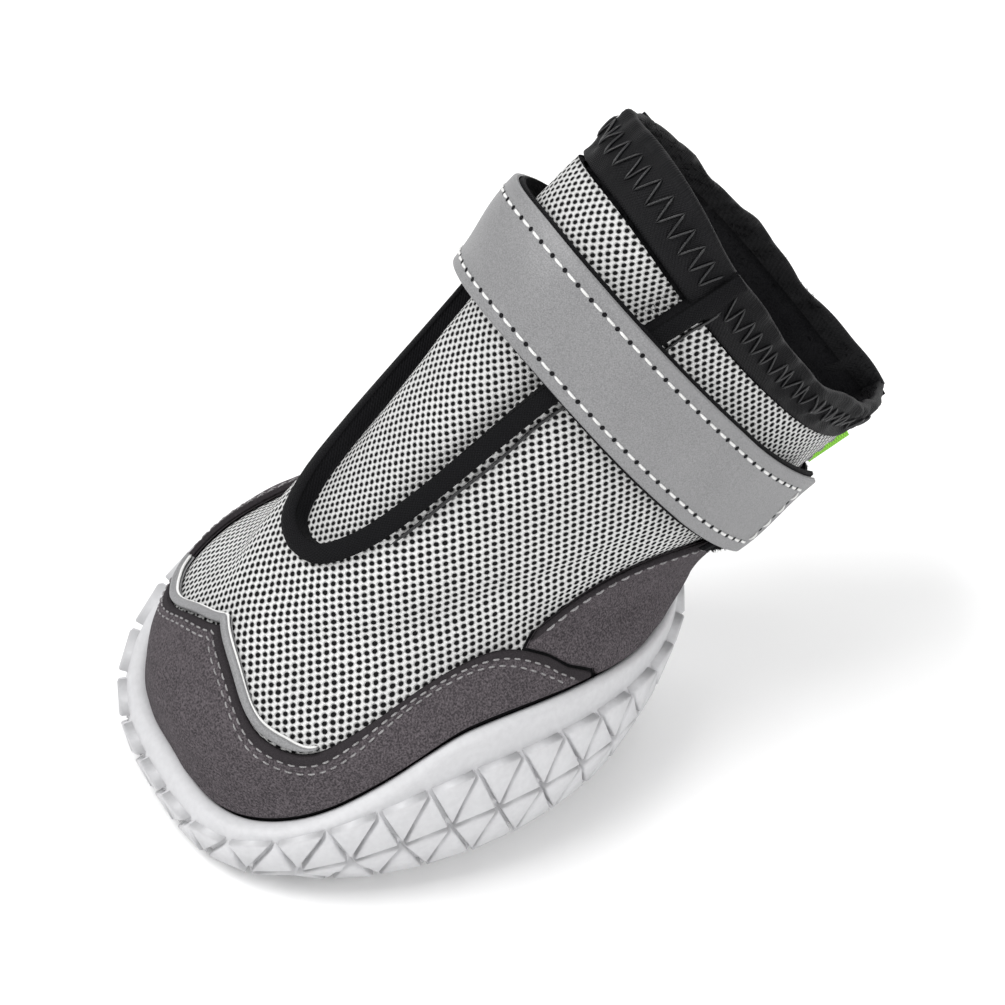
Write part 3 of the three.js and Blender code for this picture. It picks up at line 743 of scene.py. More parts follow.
RUBBER = Finish("white_rubber", (0.53, 0.53, 0.542), (0.49, 0.49, 0.502), 0.55, 900.0, 60.0,
                grain=0.02)
SUEDE = SuedeFinish("grey_suede", (0.113, 0.099, 0.107), (0.036, 0.032, 0.035), 0.95, 3100.0, 260.0,
                    0.1, grain=0.12, specular=0.1)
QUARTER_MESH = KnitFinish("quarter_mesh", (0.68, 0.68, 0.675), (0.54, 0.54, 0.535), 0.85, grain=0.34,
                          specular=0.15, pitch=1.62, row=0.95, radius=0.42)
TONGUE_MESH = KnitFinish("tongue_mesh", (0.62, 0.62, 0.615), (0.50, 0.50, 0.495), 0.85, grain=0.3,
                         specular=0.15, pitch=1.45, row=0.86, radius=0.36)
REFLECTIVE = Finish("reflective_grey", (0.262, 0.262, 0.266), (0.178, 0.178, 0.182), 0.5, 4600.0, 90.0,
                    0.15, grain=0.035, metallic=0.2, specular=0.3)
BINDING = TapeFinish("black_binding", (0.008, 0.008, 0.009), (0.004, 0.004, 0.005), 0.8, grain=0.12,
                     specular=0.12)
WEBBING = TapeFinish("ribbed_webbing", (0.010, 0.010, 0.011), (0.004, 0.004, 0.005), 0.8, grain=0.2,
                     specular=0.2, rib=30.0, cross=1.1)
KNIT = TapeFinish("stretch_knit", (0.007, 0.007, 0.008), (0.003, 0.003, 0.004), 0.6, grain=0.1,
                  specular=0.15, rib=0.45, cross=0.9)
PILE = Finish("black_pile", (0.010, 0.010, 0.011), (0.002, 0.002, 0.003), 0.9, specular=0.15)
GREEN = TapeFinish("green_weave", (0.32, 0.76, 0.05), (0.22, 0.6, 0.03), 0.7, grain=0.06,
                   rib=0.5, cross=0.5)
WHITE_THREAD = Finish("white_thread", (0.80, 0.80, 0.79), (0.6, 0.6, 0.59), 0.6, 6000.0, 400.0)
GREY_THREAD = Finish("grey_thread", (0.33, 0.32, 0.325), (0.12, 0.115, 0.117), 0.7, 6000.0, 400.0)
BLACK_THREAD = Finish("black_thread", (0.007, 0.007, 0.008), (0.003, 0.003, 0.004), 0.35, 6000.0,
                      400.0, grain=0.03)
FOAM = Finish("foam_board", (0.03, 0.03, 0.032), (0.015, 0.015, 0.016), 0.95, 2500.0, 100.0, grain=0.1)


# Forms that repeat


@dataclass(frozen=True)
class Thread:
    """A row of stitches: spacing, stitch size and how far it stands off the cloth."""

    pitch: float = 3.0
    length: float = 2.4
    width: float = 0.42
    height: float = 0.3

    def form(self) -> tuple[Array, Array]:
        """Returns the points and faces of one stitch, which dips at both ends."""
        rings, sides = 7, 6
        x = np.linspace(-1, 1, rings)
        size = np.sqrt(np.clip(1 - x**4, 0.02, 1))
        turn = np.linspace(0, 2 * np.pi, sides, endpoint=False)
        ring_x = np.repeat(x * self.length / 2, sides)
        y = np.outer(size, np.cos(turn)).ravel() * self.width / 2
        lift = np.repeat(self.height * (1 - x**2) - 0.12, sides)
        z = np.outer(size, np.sin(turn)).ravel() * self.width / 2 * 0.8 + lift
        index = np.arange(rings * sides).reshape(rings, sides)
        turned = np.roll(index, -1, axis=1)
        quads = np.stack([index[:-1], turned[:-1], turned[1:], index[1:]], -1).reshape(-1, 4)
        return np.stack([ring_x, y, z], -1), quads[:, ::-1]

    def sew(self, builder: Builder, path: Array, normals: Array) -> tuple[Array, Array]:
        """Adds the row along a path.

        Args:
            builder: Mesh that takes the stitches.
            path: Points on the cloth.
            normals: Outward direction at each point.

        Returns:
            Needle holes between the stitches and their outward directions.
        """
        run = np.concatenate([[0], np.cumsum(np.linalg.norm(np.diff(path, axis=0), axis=-1))])
        count = max(int(run[-1] / self.pitch), 1)
        pitch = run[-1] / count

        def read(at: Array, table: Array) -> Array:
            """Returns the table's vectors at lengths along the path."""
            return np.stack([np.interp(at, run, table[:, k]) for k in range(3)], -1)

        middle = (np.arange(count) + 0.5) * pitch
        up = unit(read(middle, normals))
        along = unit(read(middle + 0.3 * pitch, path) - read(middle - 0.3 * pitch, path))
        along = unit(along - up * (along * up).sum(-1, keepdims=True))
        form, faces = self.form()
        builder.copies(form, faces, read(middle, path), np.stack([along, np.cross(up, along), up], 1))
        ends = np.arange(1, count) * pitch
        return read(ends, path), unit(read(ends, normals))


def punch(builder: Builder, centres: Array, normals: Array, radius: float = 0.3) -> None:
    """Adds a dark needle hole at each centre.

    Args:
        builder: Mesh that takes them.
        centres: Places on the cloth.
        normals: Outward directions.
        radius: Radius of a hole.
    """
    turn = np.linspace(0, 2 * np.pi, 8, endpoint=False)
    rim = np.stack([np.cos(turn) * radius, np.sin(turn) * radius, np.full(8, -0.02)], -1)
    form = np.vstack([rim, [[0, 0, 0.04]]])
    faces = np.array([[k, (k + 1) % 8, 8] for k in range(8)])
    side = unit(np.cross(normals, np.array([0.2, 0.9, 0.3])))
    builder.copies(form, faces, centres, np.stack([side, np.cross(normals, side), normals], 1))


def pile(builder: Builder, roots: Array, normals: Array, length: float, rng: np.random.Generator) -> None:
    """Adds short bent fibres.

    Args:
        builder: Mesh that takes them.
        roots: Root of each fibre.
        normals: Outward direction at each root.
        length: Usual length.
        rng: Source of the irregularity.
    """
    count = len(roots)
    lean = rng.normal(0, 0.55, (count, 3))
    bend = rng.normal(0, 0.6, (count, 3))
    size = length * rng.uniform(0.6, 1.25, (count, 1))
    side = unit(np.cross(normals, rng.normal(0, 1, (count, 3))))
    other = np.cross(normals, side)
    rings = []
    for share, width in ((0.0, 0.075), (0.55, 0.06), (1.0, 0.012)):
        middle = roots + size * share * unit(normals + lean * share + bend * share**2)
        for turn in (0, 2.1, 4.2):
            rings.append(middle + width * (np.cos(turn) * side + np.sin(turn) * other))
    points = np.stack(rings, 1)
    sides = [(k, (k + 1) % 3) for k in range(3)]
    faces = [[low + i, low + j, low + 3 + j, low + 3 + i] for low in (0, 3) for i, j in sides]
    shift = np.arange(count)[:, None, None] * len(rings)
    builder.put(points, (np.array(faces)[None] + shift).reshape(-1, 4))


def spread(count: int, edge: float = 0.03) -> Array:
    """Returns shares from 0 to 1 that crowd together at both ends."""
    inner = np.linspace(edge * 2.2, 1 - edge * 2.2, count - 6)
    return np.concatenate([[0, edge * 0.4, edge], inner, [1 - edge, 1 - edge * 0.4, 1]])


def rounded(distance: Array, radius: float) -> Array:
    """Returns 0 at an edge and 1 from a radius inside it, as a quarter circle."""
    t = np.clip(1 - distance / radius, 0, 1)
    return np.sqrt(1 - t * t)


class Panel:
    """A patch of sheet material laid on the skin between two angles and two edges."""

    def __init__(self, last: Last, start: float, end: float, low: Callable, high: Callable) -> None:
        """Keeps the panel's outline.

        Args:
            last: The boot's form.
            start: First angle.
            end: Last angle.
            low: v of the lower edge over the angle.
            high: v of the upper edge over the angle.
        """
        self.last, self.start, self.end = last, start, end
        self.low, self.high = low, high

    def lay(self, builder: Builder, inner: float, thick: float, along: int, across: int,
            swell: Optional[Callable] = None, round_edge: float = 0.5) -> None:
        """Adds the panel with rounded edges.

        Args:
            builder: Mesh that takes it.
            inner: Height of its underside over the skin.
            thick: Its thickness.
            along: Steps along.
            across: Steps across.
            swell: Extra height over angle and v.
            round_edge: Radius of its edges.
        """
        last = self.last
        angle = self.start + (self.end - self.start) * spread(along, 0.004)
        share = spread(across)
        a = np.repeat(angle[:, None], across, 1)
        low, high = self.low(angle), self.high(angle)
        v = low[:, None] + (high - low)[:, None] * share[None]
        run = np.linalg.norm(np.diff(last.skin(a, v), axis=1), axis=-1)
        length = np.hstack([np.zeros((along, 1)), np.cumsum(run, 1)])
        inside = np.minimum(length, length[:, -1:] - length)
        ends = np.minimum(a - self.start, self.end - a) * 0.7
        edge = rounded(inside, round_edge) * rounded(ends, round_edge)
        height = inner + thick * (0.35 + 0.65 * edge)
        if swell is not None:
            height = height + swell(a, v) * edge
        places = np.stack([last.flat(a, v)[..., 0], length[:, -1:] - length], -1)
        builder.slab(last.raised(a, v, height), last.raised(a, v, inner), places)

    def seam(self, builder: Builder, thread: Thread, inset: float, height: float,
             trim: float = 1.5) -> tuple[Array, Array]:
        """Adds a row of stitches inside the upper edge.

        Args:
            builder: Mesh that takes the stitches.
            thread: Kind of stitch.
            inset: Distance inside the edge.
            height: Height of the cloth over the skin.
            trim: Degrees left free at both ends.

        Returns:
            Needle holes and their outward directions.
        """
        angle = np.linspace(self.start + trim, self.end - trim, 400)
        v = self.last.higher(angle, self.high(angle), -inset)
        free = v > self.last.higher(angle, self.low(angle), 0.8)
        angle, v = angle[free], v[free]
        path = self.last.raised(angle, v, height)
        return thread.sew(builder, path, self.last.normal(angle, v))


def strip(last: Last, builder: Builder, angle: Array, v: Array, left: float | Array,
          right: float | Array, inner: float, thick: float, across: int = 11) -> None:
    """Adds a tape with a rounded section along a line on the skin.

    Args:
        last: The boot's form.
        builder: Mesh that takes it.
        angle: Angles of the line.
        v: v of the line.
        left: Width on its left.
        right: Width on its right.
        inner: Height of its underside.
        thick: Its thickness.
        across: Points across.
    """
    base, up = last.skin(angle, v), last.normal(angle, v)
    side = unit(np.cross(up, np.gradient(base, axis=0)))
    share = spread(across, 0.05)
    left, right = (np.broadcast_to(width, angle.shape)[:, None] for width in (left, right))
    place = -left + (left + right) * share
    crown = 0.3 + 0.7 * np.sqrt(np.clip(1 - np.abs(2 * share - 1) ** 4, 0, 1))
    run = np.concatenate([[0], np.cumsum(np.linalg.norm(np.diff(base, axis=0), axis=-1))])
    flats = np.stack([np.repeat(run[:, None], across, 1), place], -1)
    line = base[:, None] + side[:, None] * place[..., None]
    outer = line + up[:, None] * (inner + thick * crown)[None, :, None]
    builder.slab(outer, line + up[:, None] * inner, flats)


# Sub-assemblies


@dataclass(frozen=True)
class Sole:
    """Rubber cup with a smooth upper band and triangular lugs that meet in stars.

    Pads are the round tread blocks: row of lugs from the middle, and radius in lug sizes.
    """

    last: Last
    pitch: float = 10.2
    groove: float = 0.8
    lugs_round: int = 32
    side_groove: float = 0.62
    bevel: float = 0.32
    root: float = 1.0
    rows: int = 3
    foot: float = 0.12

    PADS = ((-2, 0.85), (0, 0.85), (2, 0.62))
    LUG_TOP = Curve([(0, 1.55), (60, 1.72), (100, 1.85), (140, 1.72), (180, 1.6)])

    def build(self) -> None:
        """Builds the cup with its lugs."""
        builder = Builder("rubber_sole")
        self._cup(builder)
        self._side_lugs(builder)
        self._tread(builder)
        builder.build(RUBBER, "sole_rubber", "outsole")

    def _cup(self, builder: Builder) -> None:
        """Adds the wall, its rounded lip, the inside and the floor."""
        last = self.last
        angle = np.linspace(0, 360, 241)
        lip = last.lip(angle)

        def level(share: Array) -> Array:
            """Returns v at shares 0 to 2 of the way up the wall."""
            up = 1 + (share[None] - 1) * (lip[:, None] - 1)
            return np.where(share[None] <= 1, share[None], up)

        share = np.concatenate([np.linspace(0, 1, 14), np.linspace(1, 1.93, 16)[1:]])
        a = np.repeat(angle[:, None], len(share), 1)
        outside = last.cup(a, level(share))
        inside = last.raised(a, level(share), last.size.gap)
        top = 0.5 * (last.cup(angle, lip) + last.raised(angle, lip, last.size.gap))[:, None]
        low_out, low_in = outside[:, -1:], inside[:, -1:]
        turn = np.linspace(0, 1, 7)[None, 1:-1, None]
        pull = 2 * top - 0.5 * (low_out + low_in)
        arc = (1 - turn) ** 2 * low_out + 2 * turn * (1 - turn) * pull + turn**2 * low_in
        builder.grid(np.concatenate([outside, arc, inside[:, ::-1]], 1))
        ground = last.size.lug
        for row, height, flip in ((outside, ground, False), (inside, ground + last.size.floor, True)):
            centre = np.broadcast_to([0.0, last.sole_flat.side_y, height], row[:, 0].shape)
            builder.grid(np.stack([row[:, 0], centre], 1), flip=flip)

    def _angle_at(self, count: int, v: float) -> Callable[[Array], Array]:
        """Returns the angle of places at equal distances round the wall."""
        fine = np.linspace(0, 360, 721)
        run = np.linalg.norm(np.diff(self.last.cup(fine, v), axis=0), axis=-1)
        run = np.concatenate([[0], np.cumsum(run)])
        return lambda i: (
            np.interp(np.mod(i, count) / count * run[-1], run, fine) + 360 * np.floor(i / count)
        )

    @staticmethod
    def _drawn_in(points: Array, distance: float) -> Array:
        """Returns an outline's points moved towards its centre."""
        centre = points.mean(0)
        reach = np.linalg.norm(points - centre, axis=-1, keepdims=True)
        return centre + (points - centre) * (1 - distance / reach)

    def _prism(self, builder: Builder, base: Array, out: Array) -> None:
        """Adds a lug with bevelled edges on a flat outline of points, rooted in the wall."""
        top = self.last.size.lug
        face = self._drawn_in(base, self.bevel)
        rings = [
            base - out * self.root,
            base + out * (top - self.bevel),
            base * 0.35 + face * 0.65 + out * (top - 0.3 * self.bevel),
            face + out * top,
        ]
        n = len(base)
        index = np.arange(4 * n).reshape(4, n)
        turned = np.roll(index, -1, axis=1)
        quads = np.stack([index[:-1], turned[:-1], turned[1:], index[1:]], -1).reshape(-1, 4)
        if np.dot(np.cross(base[1] - base[0], base[2] - base[0]), out) < 0:
            quads = quads[:, ::-1]
            index = index[:, ::-1]
        start = builder.count
        builder.put(np.concatenate(rings), quads)
        fan = np.array([index[3][[0, k, k + 1]] for k in range(1, n - 1)])
        builder.faces.append(fan + start)
        builder.paint.append(np.zeros(len(fan), int))

    def _level(self, angle: float, row: int) -> float:
        """Returns v of the lugs' corners at an angle, in rows of even height."""
        levels = np.linspace(self.foot, float(self.LUG_TOP(fold(angle))), 17)
        run = np.linalg.norm(np.diff(self.last.cup(angle, levels), axis=0), axis=-1)
        run = np.concatenate([[0], np.cumsum(run)])
        return float(np.interp(run[-1] * row / self.rows, run, levels))

    def _side_lugs(self, builder: Builder) -> None:
        """Adds rows of triangles up the wall, whose corners meet in stars."""
        last = self.last
        angle_at = self._angle_at(self.lugs_round, 1.0)
        for row in range(self.rows):
            for i in range(self.lugs_round):
                a, b, c, d = (float(angle_at(i + 0.5 * row + k)) for k in (0, 0.5, 1, 1.5))
                low = {x: (x, self._level(x, row)) for x in (a, c)}
                high = {x: (x, self._level(x, row + 1)) for x in (b, d)}
                for corners in ((low[a], low[c], high[b]), (high[b], low[c], high[d])):
                    angle, v = np.array(corners, float).T
                    out = last.normal(angle.mean(), v.mean(), last.cup)
                    self._prism(builder, self._drawn_in(last.cup(angle, v), self.side_groove), out)

    def _inside_flat(self, points: Array) -> bool:
        """Returns whether all points lie on the flat, give or take a little at its edge."""
        flat, slack = self.last.sole_flat, 0.97
        x, y = points.T * slack
        front = y < flat.side_y
        reach = (y - flat.side_y) / (np.where(front, flat.front_y, flat.back_y) - flat.side_y)
        rounding = np.where(front, flat.front_round, flat.back_round)
        edge = flat.half * np.sqrt(np.clip(1 - reach**2, 0, 1)) ** rounding
        return bool(np.all((reach <= 1) & (np.abs(x) < edge)))

    def _tread(self, builder: Builder) -> None:
        """Adds triangles under the flat, round six-sided pads that the boot stands on."""
        side = 1.08 * self.pitch
        height = side * np.sqrt(3) / 2
        pads = [(row * height, radius * side) for row, radius in self.PADS]
        shapes = []
        for row in range(-5, 5):
            for i in range(-5, 5):
                x, y = (i + (abs(row) % 2) * 0.5) * side, row * height
                top, right = (x + side / 2, y + height), (x + side, y)
                for corners in (((x, y), right, top), (top, right, (x + 1.5 * side, y + height))):
                    shape = np.array(corners)
                    centre = shape.mean(0)
                    if all(np.hypot(centre[0], centre[1] - pad) >= 0.9 * side for pad, _ in pads):
                        shapes.append(shape)
        turn = np.radians(np.arange(0, 360, 60))
        shapes += [
            np.stack([radius * np.cos(turn), y + radius * np.sin(turn)], -1) for y, radius in pads
        ]
        for shape in shapes:
            if not self._inside_flat(shape):
                continue
            inset = self._drawn_in(shape, self.groove)
            base = np.column_stack([inset, np.full(len(inset), self.last.size.lug)])
            self._prism(builder, base, np.array([0.0, 0.0, -1.0]))


@dataclass(frozen=True)
class Crease:
    """A soft trough or ridge in the cloth between two places given by angle and v."""

    start: tuple[float, float]
    end: tuple[float, float]
    depth: float
    width: float

    def relief(self, last: Last, a: Array, v: Array) -> Array:
        """Returns its height at places on the skin; troughs are below zero."""
        place = last.flat(a, v)
        p, q = (last.flat(np.array(at[0]), np.array(at[1])) for at in (self.start, self.end))
        line = q - p
        t = np.clip(((place - p) @ line) / (line @ line), 0, 1)
        gap = np.linalg.norm(place - p - t[..., None] * line, axis=-1)
        fade = np.sin(np.pi * np.clip(0.12 + 0.76 * t, 0, 1)) ** 0.7
        return -self.depth * np.exp(-((gap / self.width) ** 2)) * fade


@dataclass(frozen=True)
class Upper:
    """Mesh shell, open at the throat, with its bellows tongue and insole."""

    last: Last
    tongue_thick: float = 1.3
    creases: Sequence[Crease] = field(default_factory=lambda: [
        Crease((30, 4.1), (62, 4.75), 0.55, 4.0),
        Crease((46, 4.0), (84, 4.4), -0.35, 5.0),
        Crease((64, 4.9), (92, 5.35), 0.5, 4.5),
        Crease((88, 4.4), (104, 5.2), -0.4, 5.0),
        Crease((-30, 4.1), (-70, 4.8), 0.5, 4.5),
        Crease((-60, 4.6), (-95, 5.3), 0.5, 4.5),
        Crease((0, 4.35), (24, 4.95), 0.35, 4.0),
        Crease((70, 7.1), (96, 7.35), 0.4, 3.0),
    ])
    wave: Wobble = field(default_factory=lambda: Wobble(SEED, 16.0))

    def relief(self, a: Array, v: Array) -> Array:
        """Returns the cloth's unevenness over the skin."""
        free = smoothstep(v, 2.6, 3.4) * (1 - smoothstep(v, 7.2, 7.5))
        folds = sum(crease.relief(self.last, a, v) for crease in self.creases)
        return free * (folds + 0.12 * self.wave(self.last.flat(a, v)))

    def build(self) -> None:
        """Builds shell, tongue and insole."""
        self._shell()
        self._tongue()
        self._insole()

    def _shell(self) -> None:
        """Builds the shell in two halves that meet at the toe and the back seam."""
        last = self.last
        builder = Builder("mesh_shell")
        level = np.concatenate([
            np.linspace(0, 2, 10), np.linspace(2, THROAT, 44)[1:],
            THROAT + np.array([0.002, 0.006, 0.013, 0.022, 0.035, 0.05, 0.07, 0.1, 0.14, 0.19]),
            np.linspace(THROAT + 0.25, BAND - 0.005, 42),
        ])
        share = np.linspace(0, 1, 96)
        opening = last.throat_half(level)
        edge, top = Curve(Panels.RAND_EDGE), Curve(Panels.COUNTER_EDGE)
        for side in (1, -1):
            a = side * (opening[None] + (180 - opening)[None] * share[:, None])
            v = np.repeat(level[None], len(share), 0)
            outer = last.raised(a, v, self.relief(a, v))
            inner = last.raised(a, v, -last.size.wall)
            places = last.grain(a, v)
            turn, height = fold(a[1:, 1:]), v[1:, 1:]
            # Where the rand, the counter and the rubber cover the shell, its outer face takes the black
            # lining finish, so the narrow gaps at their edges show as dark lines.
            covered = height < np.minimum(last.lip(turn) + 0.4, edge(turn) - 0.1)
            covered |= (turn > Panels.COUNTER_START + 0.5) & (height < top(turn) - 0.12)
            builder.grid(outer, places, flip=side < 0, paint=covered)
            builder.grid(inner, places, flip=side > 0, paint=1)
            for end, flip in ((0, side > 0), (-1, side < 0)):
                rim = np.stack([outer[:, end], inner[:, end]])
                builder.grid(rim, np.stack([places[:, end]] * 2), flip=flip, paint=1)
            cut = np.stack([outer[0], inner[0]])
            builder.grid(cut, np.stack([places[0]] * 2), flip=side < 0, paint=1)
        builder.build(QUARTER_MESH, "air_mesh", "upper", lining=PILE)

    def _tongue(self) -> None:
        """Builds the tongue, which swells up through the throat."""
        last = self.last
        builder = Builder("mesh_tongue")
        foot = THROAT + np.linspace(-0.14, 0.3, 16)
        level = np.concatenate([foot, np.linspace(THROAT + 0.35, BAND - 0.03, 42)])
        share = np.linspace(-1, 1, 61)
        s, v = np.meshgrid(share, level, indexing="ij")
        arm = last.throat_half(v)
        a = s * (arm + 6)
        near = 1 - (np.abs(a) / np.maximum(0.9 * arm, 1e-6)) ** 2
        near = np.where(arm < 6, 0, np.maximum(0, near))
        rise = smoothstep(v, THROAT + 0.13, THROAT + 0.75)
        swell = (last.size.wall + 0.8) * rise * np.minimum(1, 1.25 * near)
        swell = swell + 0.16 * near * rise * Wobble(SEED + 1, 13.0)(last.flat(a, v))
        under = -last.size.wall - last.size.gap
        outer = last.raised(a, v, under + swell)
        inner = last.raised(a, v, under + swell - self.tongue_thick)
        builder.slab(outer, inner, last.grain(a, v), lined=1)
        tongue = builder.build(TONGUE_MESH, "air_mesh", "tongue", lining=PILE)

    def _insole(self) -> None:
        """Builds the foam insole on the floor of the cup."""
        last, size = self.last, self.last.size
        builder = Builder("foam_insole")
        angle = np.linspace(0, 360, 121)
        low = last.skin(angle, 0) * 0.95 * [1, 1, 0]
        floor, inside = size.lug + size.floor, size.wall + 1.5 * size.gap
        bottom, top = ([0, last.sole_flat.side_y, floor + height] for height in
                       (2 * size.gap, size.wall + size.insole))
        rings = [
            np.broadcast_to(bottom, low.shape),
            low + [0, 0, floor + 2 * size.gap],
            low + [0, 0, floor + size.wall + 3 * size.gap],
            last.raised(angle, 0.4, -inside),
            last.raised(angle, 0.4, -inside - 0.6 * size.insole),
            np.broadcast_to(top, low.shape),
        ]
        builder.grid(np.stack(rings, 1))
        builder.build(FOAM, "insole_foam", "insole")


@dataclass(frozen=True)
class Panels:
    """Suede toe cap with its rand, heel counter, reflective piping and throat binding."""

    last: Last
    stitch: Thread = Thread(pitch=1.9, length=1.35, width=0.34, height=0.22)
    stout: Thread = Thread(pitch=2.5, length=2.0, width=0.46, height=0.26)

    RAND_EDGE = [
        (0, 3.8), (18, 3.52), (36, 3.04), (50, 2.8), (62, 3.05), (80, 3.75), (92, 3.9),
        (104, 3.45), (112, 2.85), (117, 2.4),
    ]
    COUNTER_EDGE = [
        (96, 3.75), (101, 4.3), (106, 4.82), (112, 5.25), (119, 5.52), (128, 5.7), (140, 5.85),
        (151, 6.1), (158, 6.7), (164, BAND - 0.09), (180, BAND - 0.09),
    ]
    RAND_END = 117
    COUNTER_START = 99
    PIPING_END = 51.5

    def build(self) -> None:
        """Builds the panels, their stitches, the piping and the binding."""
        size, last = self.last.size, self.last
        edge, top = Curve(self.RAND_EDGE), Curve(self.COUNTER_EDGE)
        stitches = Builder("panel_stitches")
        inner, thick = size.gap, size.suede
        nap = Wobble(SEED + 2, 7.0)

        def swell(a: Array, v: Array) -> Array:
            """Returns the suede's slight unevenness."""
            return 0.07 * nap(last.flat(a, v))

        rand = Panel(last, -self.RAND_END, self.RAND_END,
                     lambda a: last.higher(a, last.lip(a), 1.1 * size.gap),
                     lambda a: edge(fold(a)))
        builder = Builder("suede_rand")
        rand.lay(builder, inner, thick, 260, 22, swell)
        builder.build(SUEDE, "suede", "toe_rand")
        for inset in (1.6, 2.9):
            rand.seam(stitches, self.stitch, inset, inner + thick)

        def foot(a: Array) -> Array:
            """Returns v of the counter's lower edge: over the rand's tail, then over the rubber."""
            clear = 1.1 * size.gap + 0.9 * smoothstep(fold(a), 120, 165)
            behind = last.higher(a, last.lip(a), clear)
            over = last.higher(a, edge(fold(a)), 0.5)
            return np.where(fold(a) < self.RAND_END + 1, over, behind)

        counter = Panel(last, self.COUNTER_START, 360 - self.COUNTER_START, foot,
                        lambda a: top(fold(a)))
        builder = Builder("suede_counter")
        counter.lay(builder, inner, thick, 200, 26, swell)
        builder.build(SUEDE, "suede", "heel_counter")
        counter.seam(stitches, self.stout, 1.7, inner + thick)
        stitches.build(GREY_THREAD, "suede")
        self._piping(edge)
        self._binding()

    def _piping(self, edge: Curve) -> None:
        """Builds the reflective piping with its pale edge cord."""
        last, size = self.last, self.last.size
        angle = np.linspace(-self.PIPING_END, self.PIPING_END, 160)
        half = 0.8 - 0.6 * smoothstep(fold(angle), self.PIPING_END - 10.5, self.PIPING_END)
        v = last.higher(angle, edge(fold(angle)), 2.2 * size.gap + half)
        builder = Builder("toe_piping_strip")
        strip(last, builder, angle, v, half, half, size.gap, 1.5)
        builder.build(REFLECTIVE, "reflective_trim", "toe_piping")
        rim = last.higher(angle, v, half + 0.05)
        cord = Builder("toe_piping_edge")
        cord.tube(last.raised(angle, rim, size.gap + 0.75), 0.24, 8)
        cord.build(WHITE_THREAD, "reflective_trim")

    def _binding(self) -> None:
        """Builds the throat binding and the seam that runs beside it."""
        last, size = self.last, self.last.size
        foot = THROAT + np.array([0.27, 0.21, 0.16, 0.12, 0.08, 0.05, 0.035, 0.022, 0.013, 0.006])
        level = np.concatenate([np.linspace(7.98, THROAT + 0.35, 60), foot])
        arm = last.throat_half(level)
        angle = np.concatenate([arm, [0.0], -arm[::-1]])
        v = np.concatenate([level, [THROAT], level[::-1]])
        builder = Builder("binding_tape")
        strip(last, builder, angle, v, 0.8, 2.4, size.gap, 1.3)
        base, up = last.skin(angle, v), last.normal(angle, v)
        side = unit(np.cross(up, np.gradient(base, axis=0)))
        height = np.linspace(1.0, -size.wall - 0.15, 6)[None, :, None]
        faces = [(base - side * reach)[:, None] + up[:, None] * height for reach in (0.8, 0.3)]
        builder.slab(*faces)
        builder.build(BINDING, "black_webbing", "throat_binding")
        seam = Builder("binding_stitches")
        start, stop, beside, lift = 6, 62, 3.6, 0.25
        sway = 0.15 * np.sin(0.7 * np.arange(stop - start))[:, None]
        base, side, up = (row[start:stop] for row in (base, side, up))
        seam.tube(base + side * (beside + sway) + up * lift, 0.28, 8)
        seam.build(BLACK_THREAD, "black_webbing")


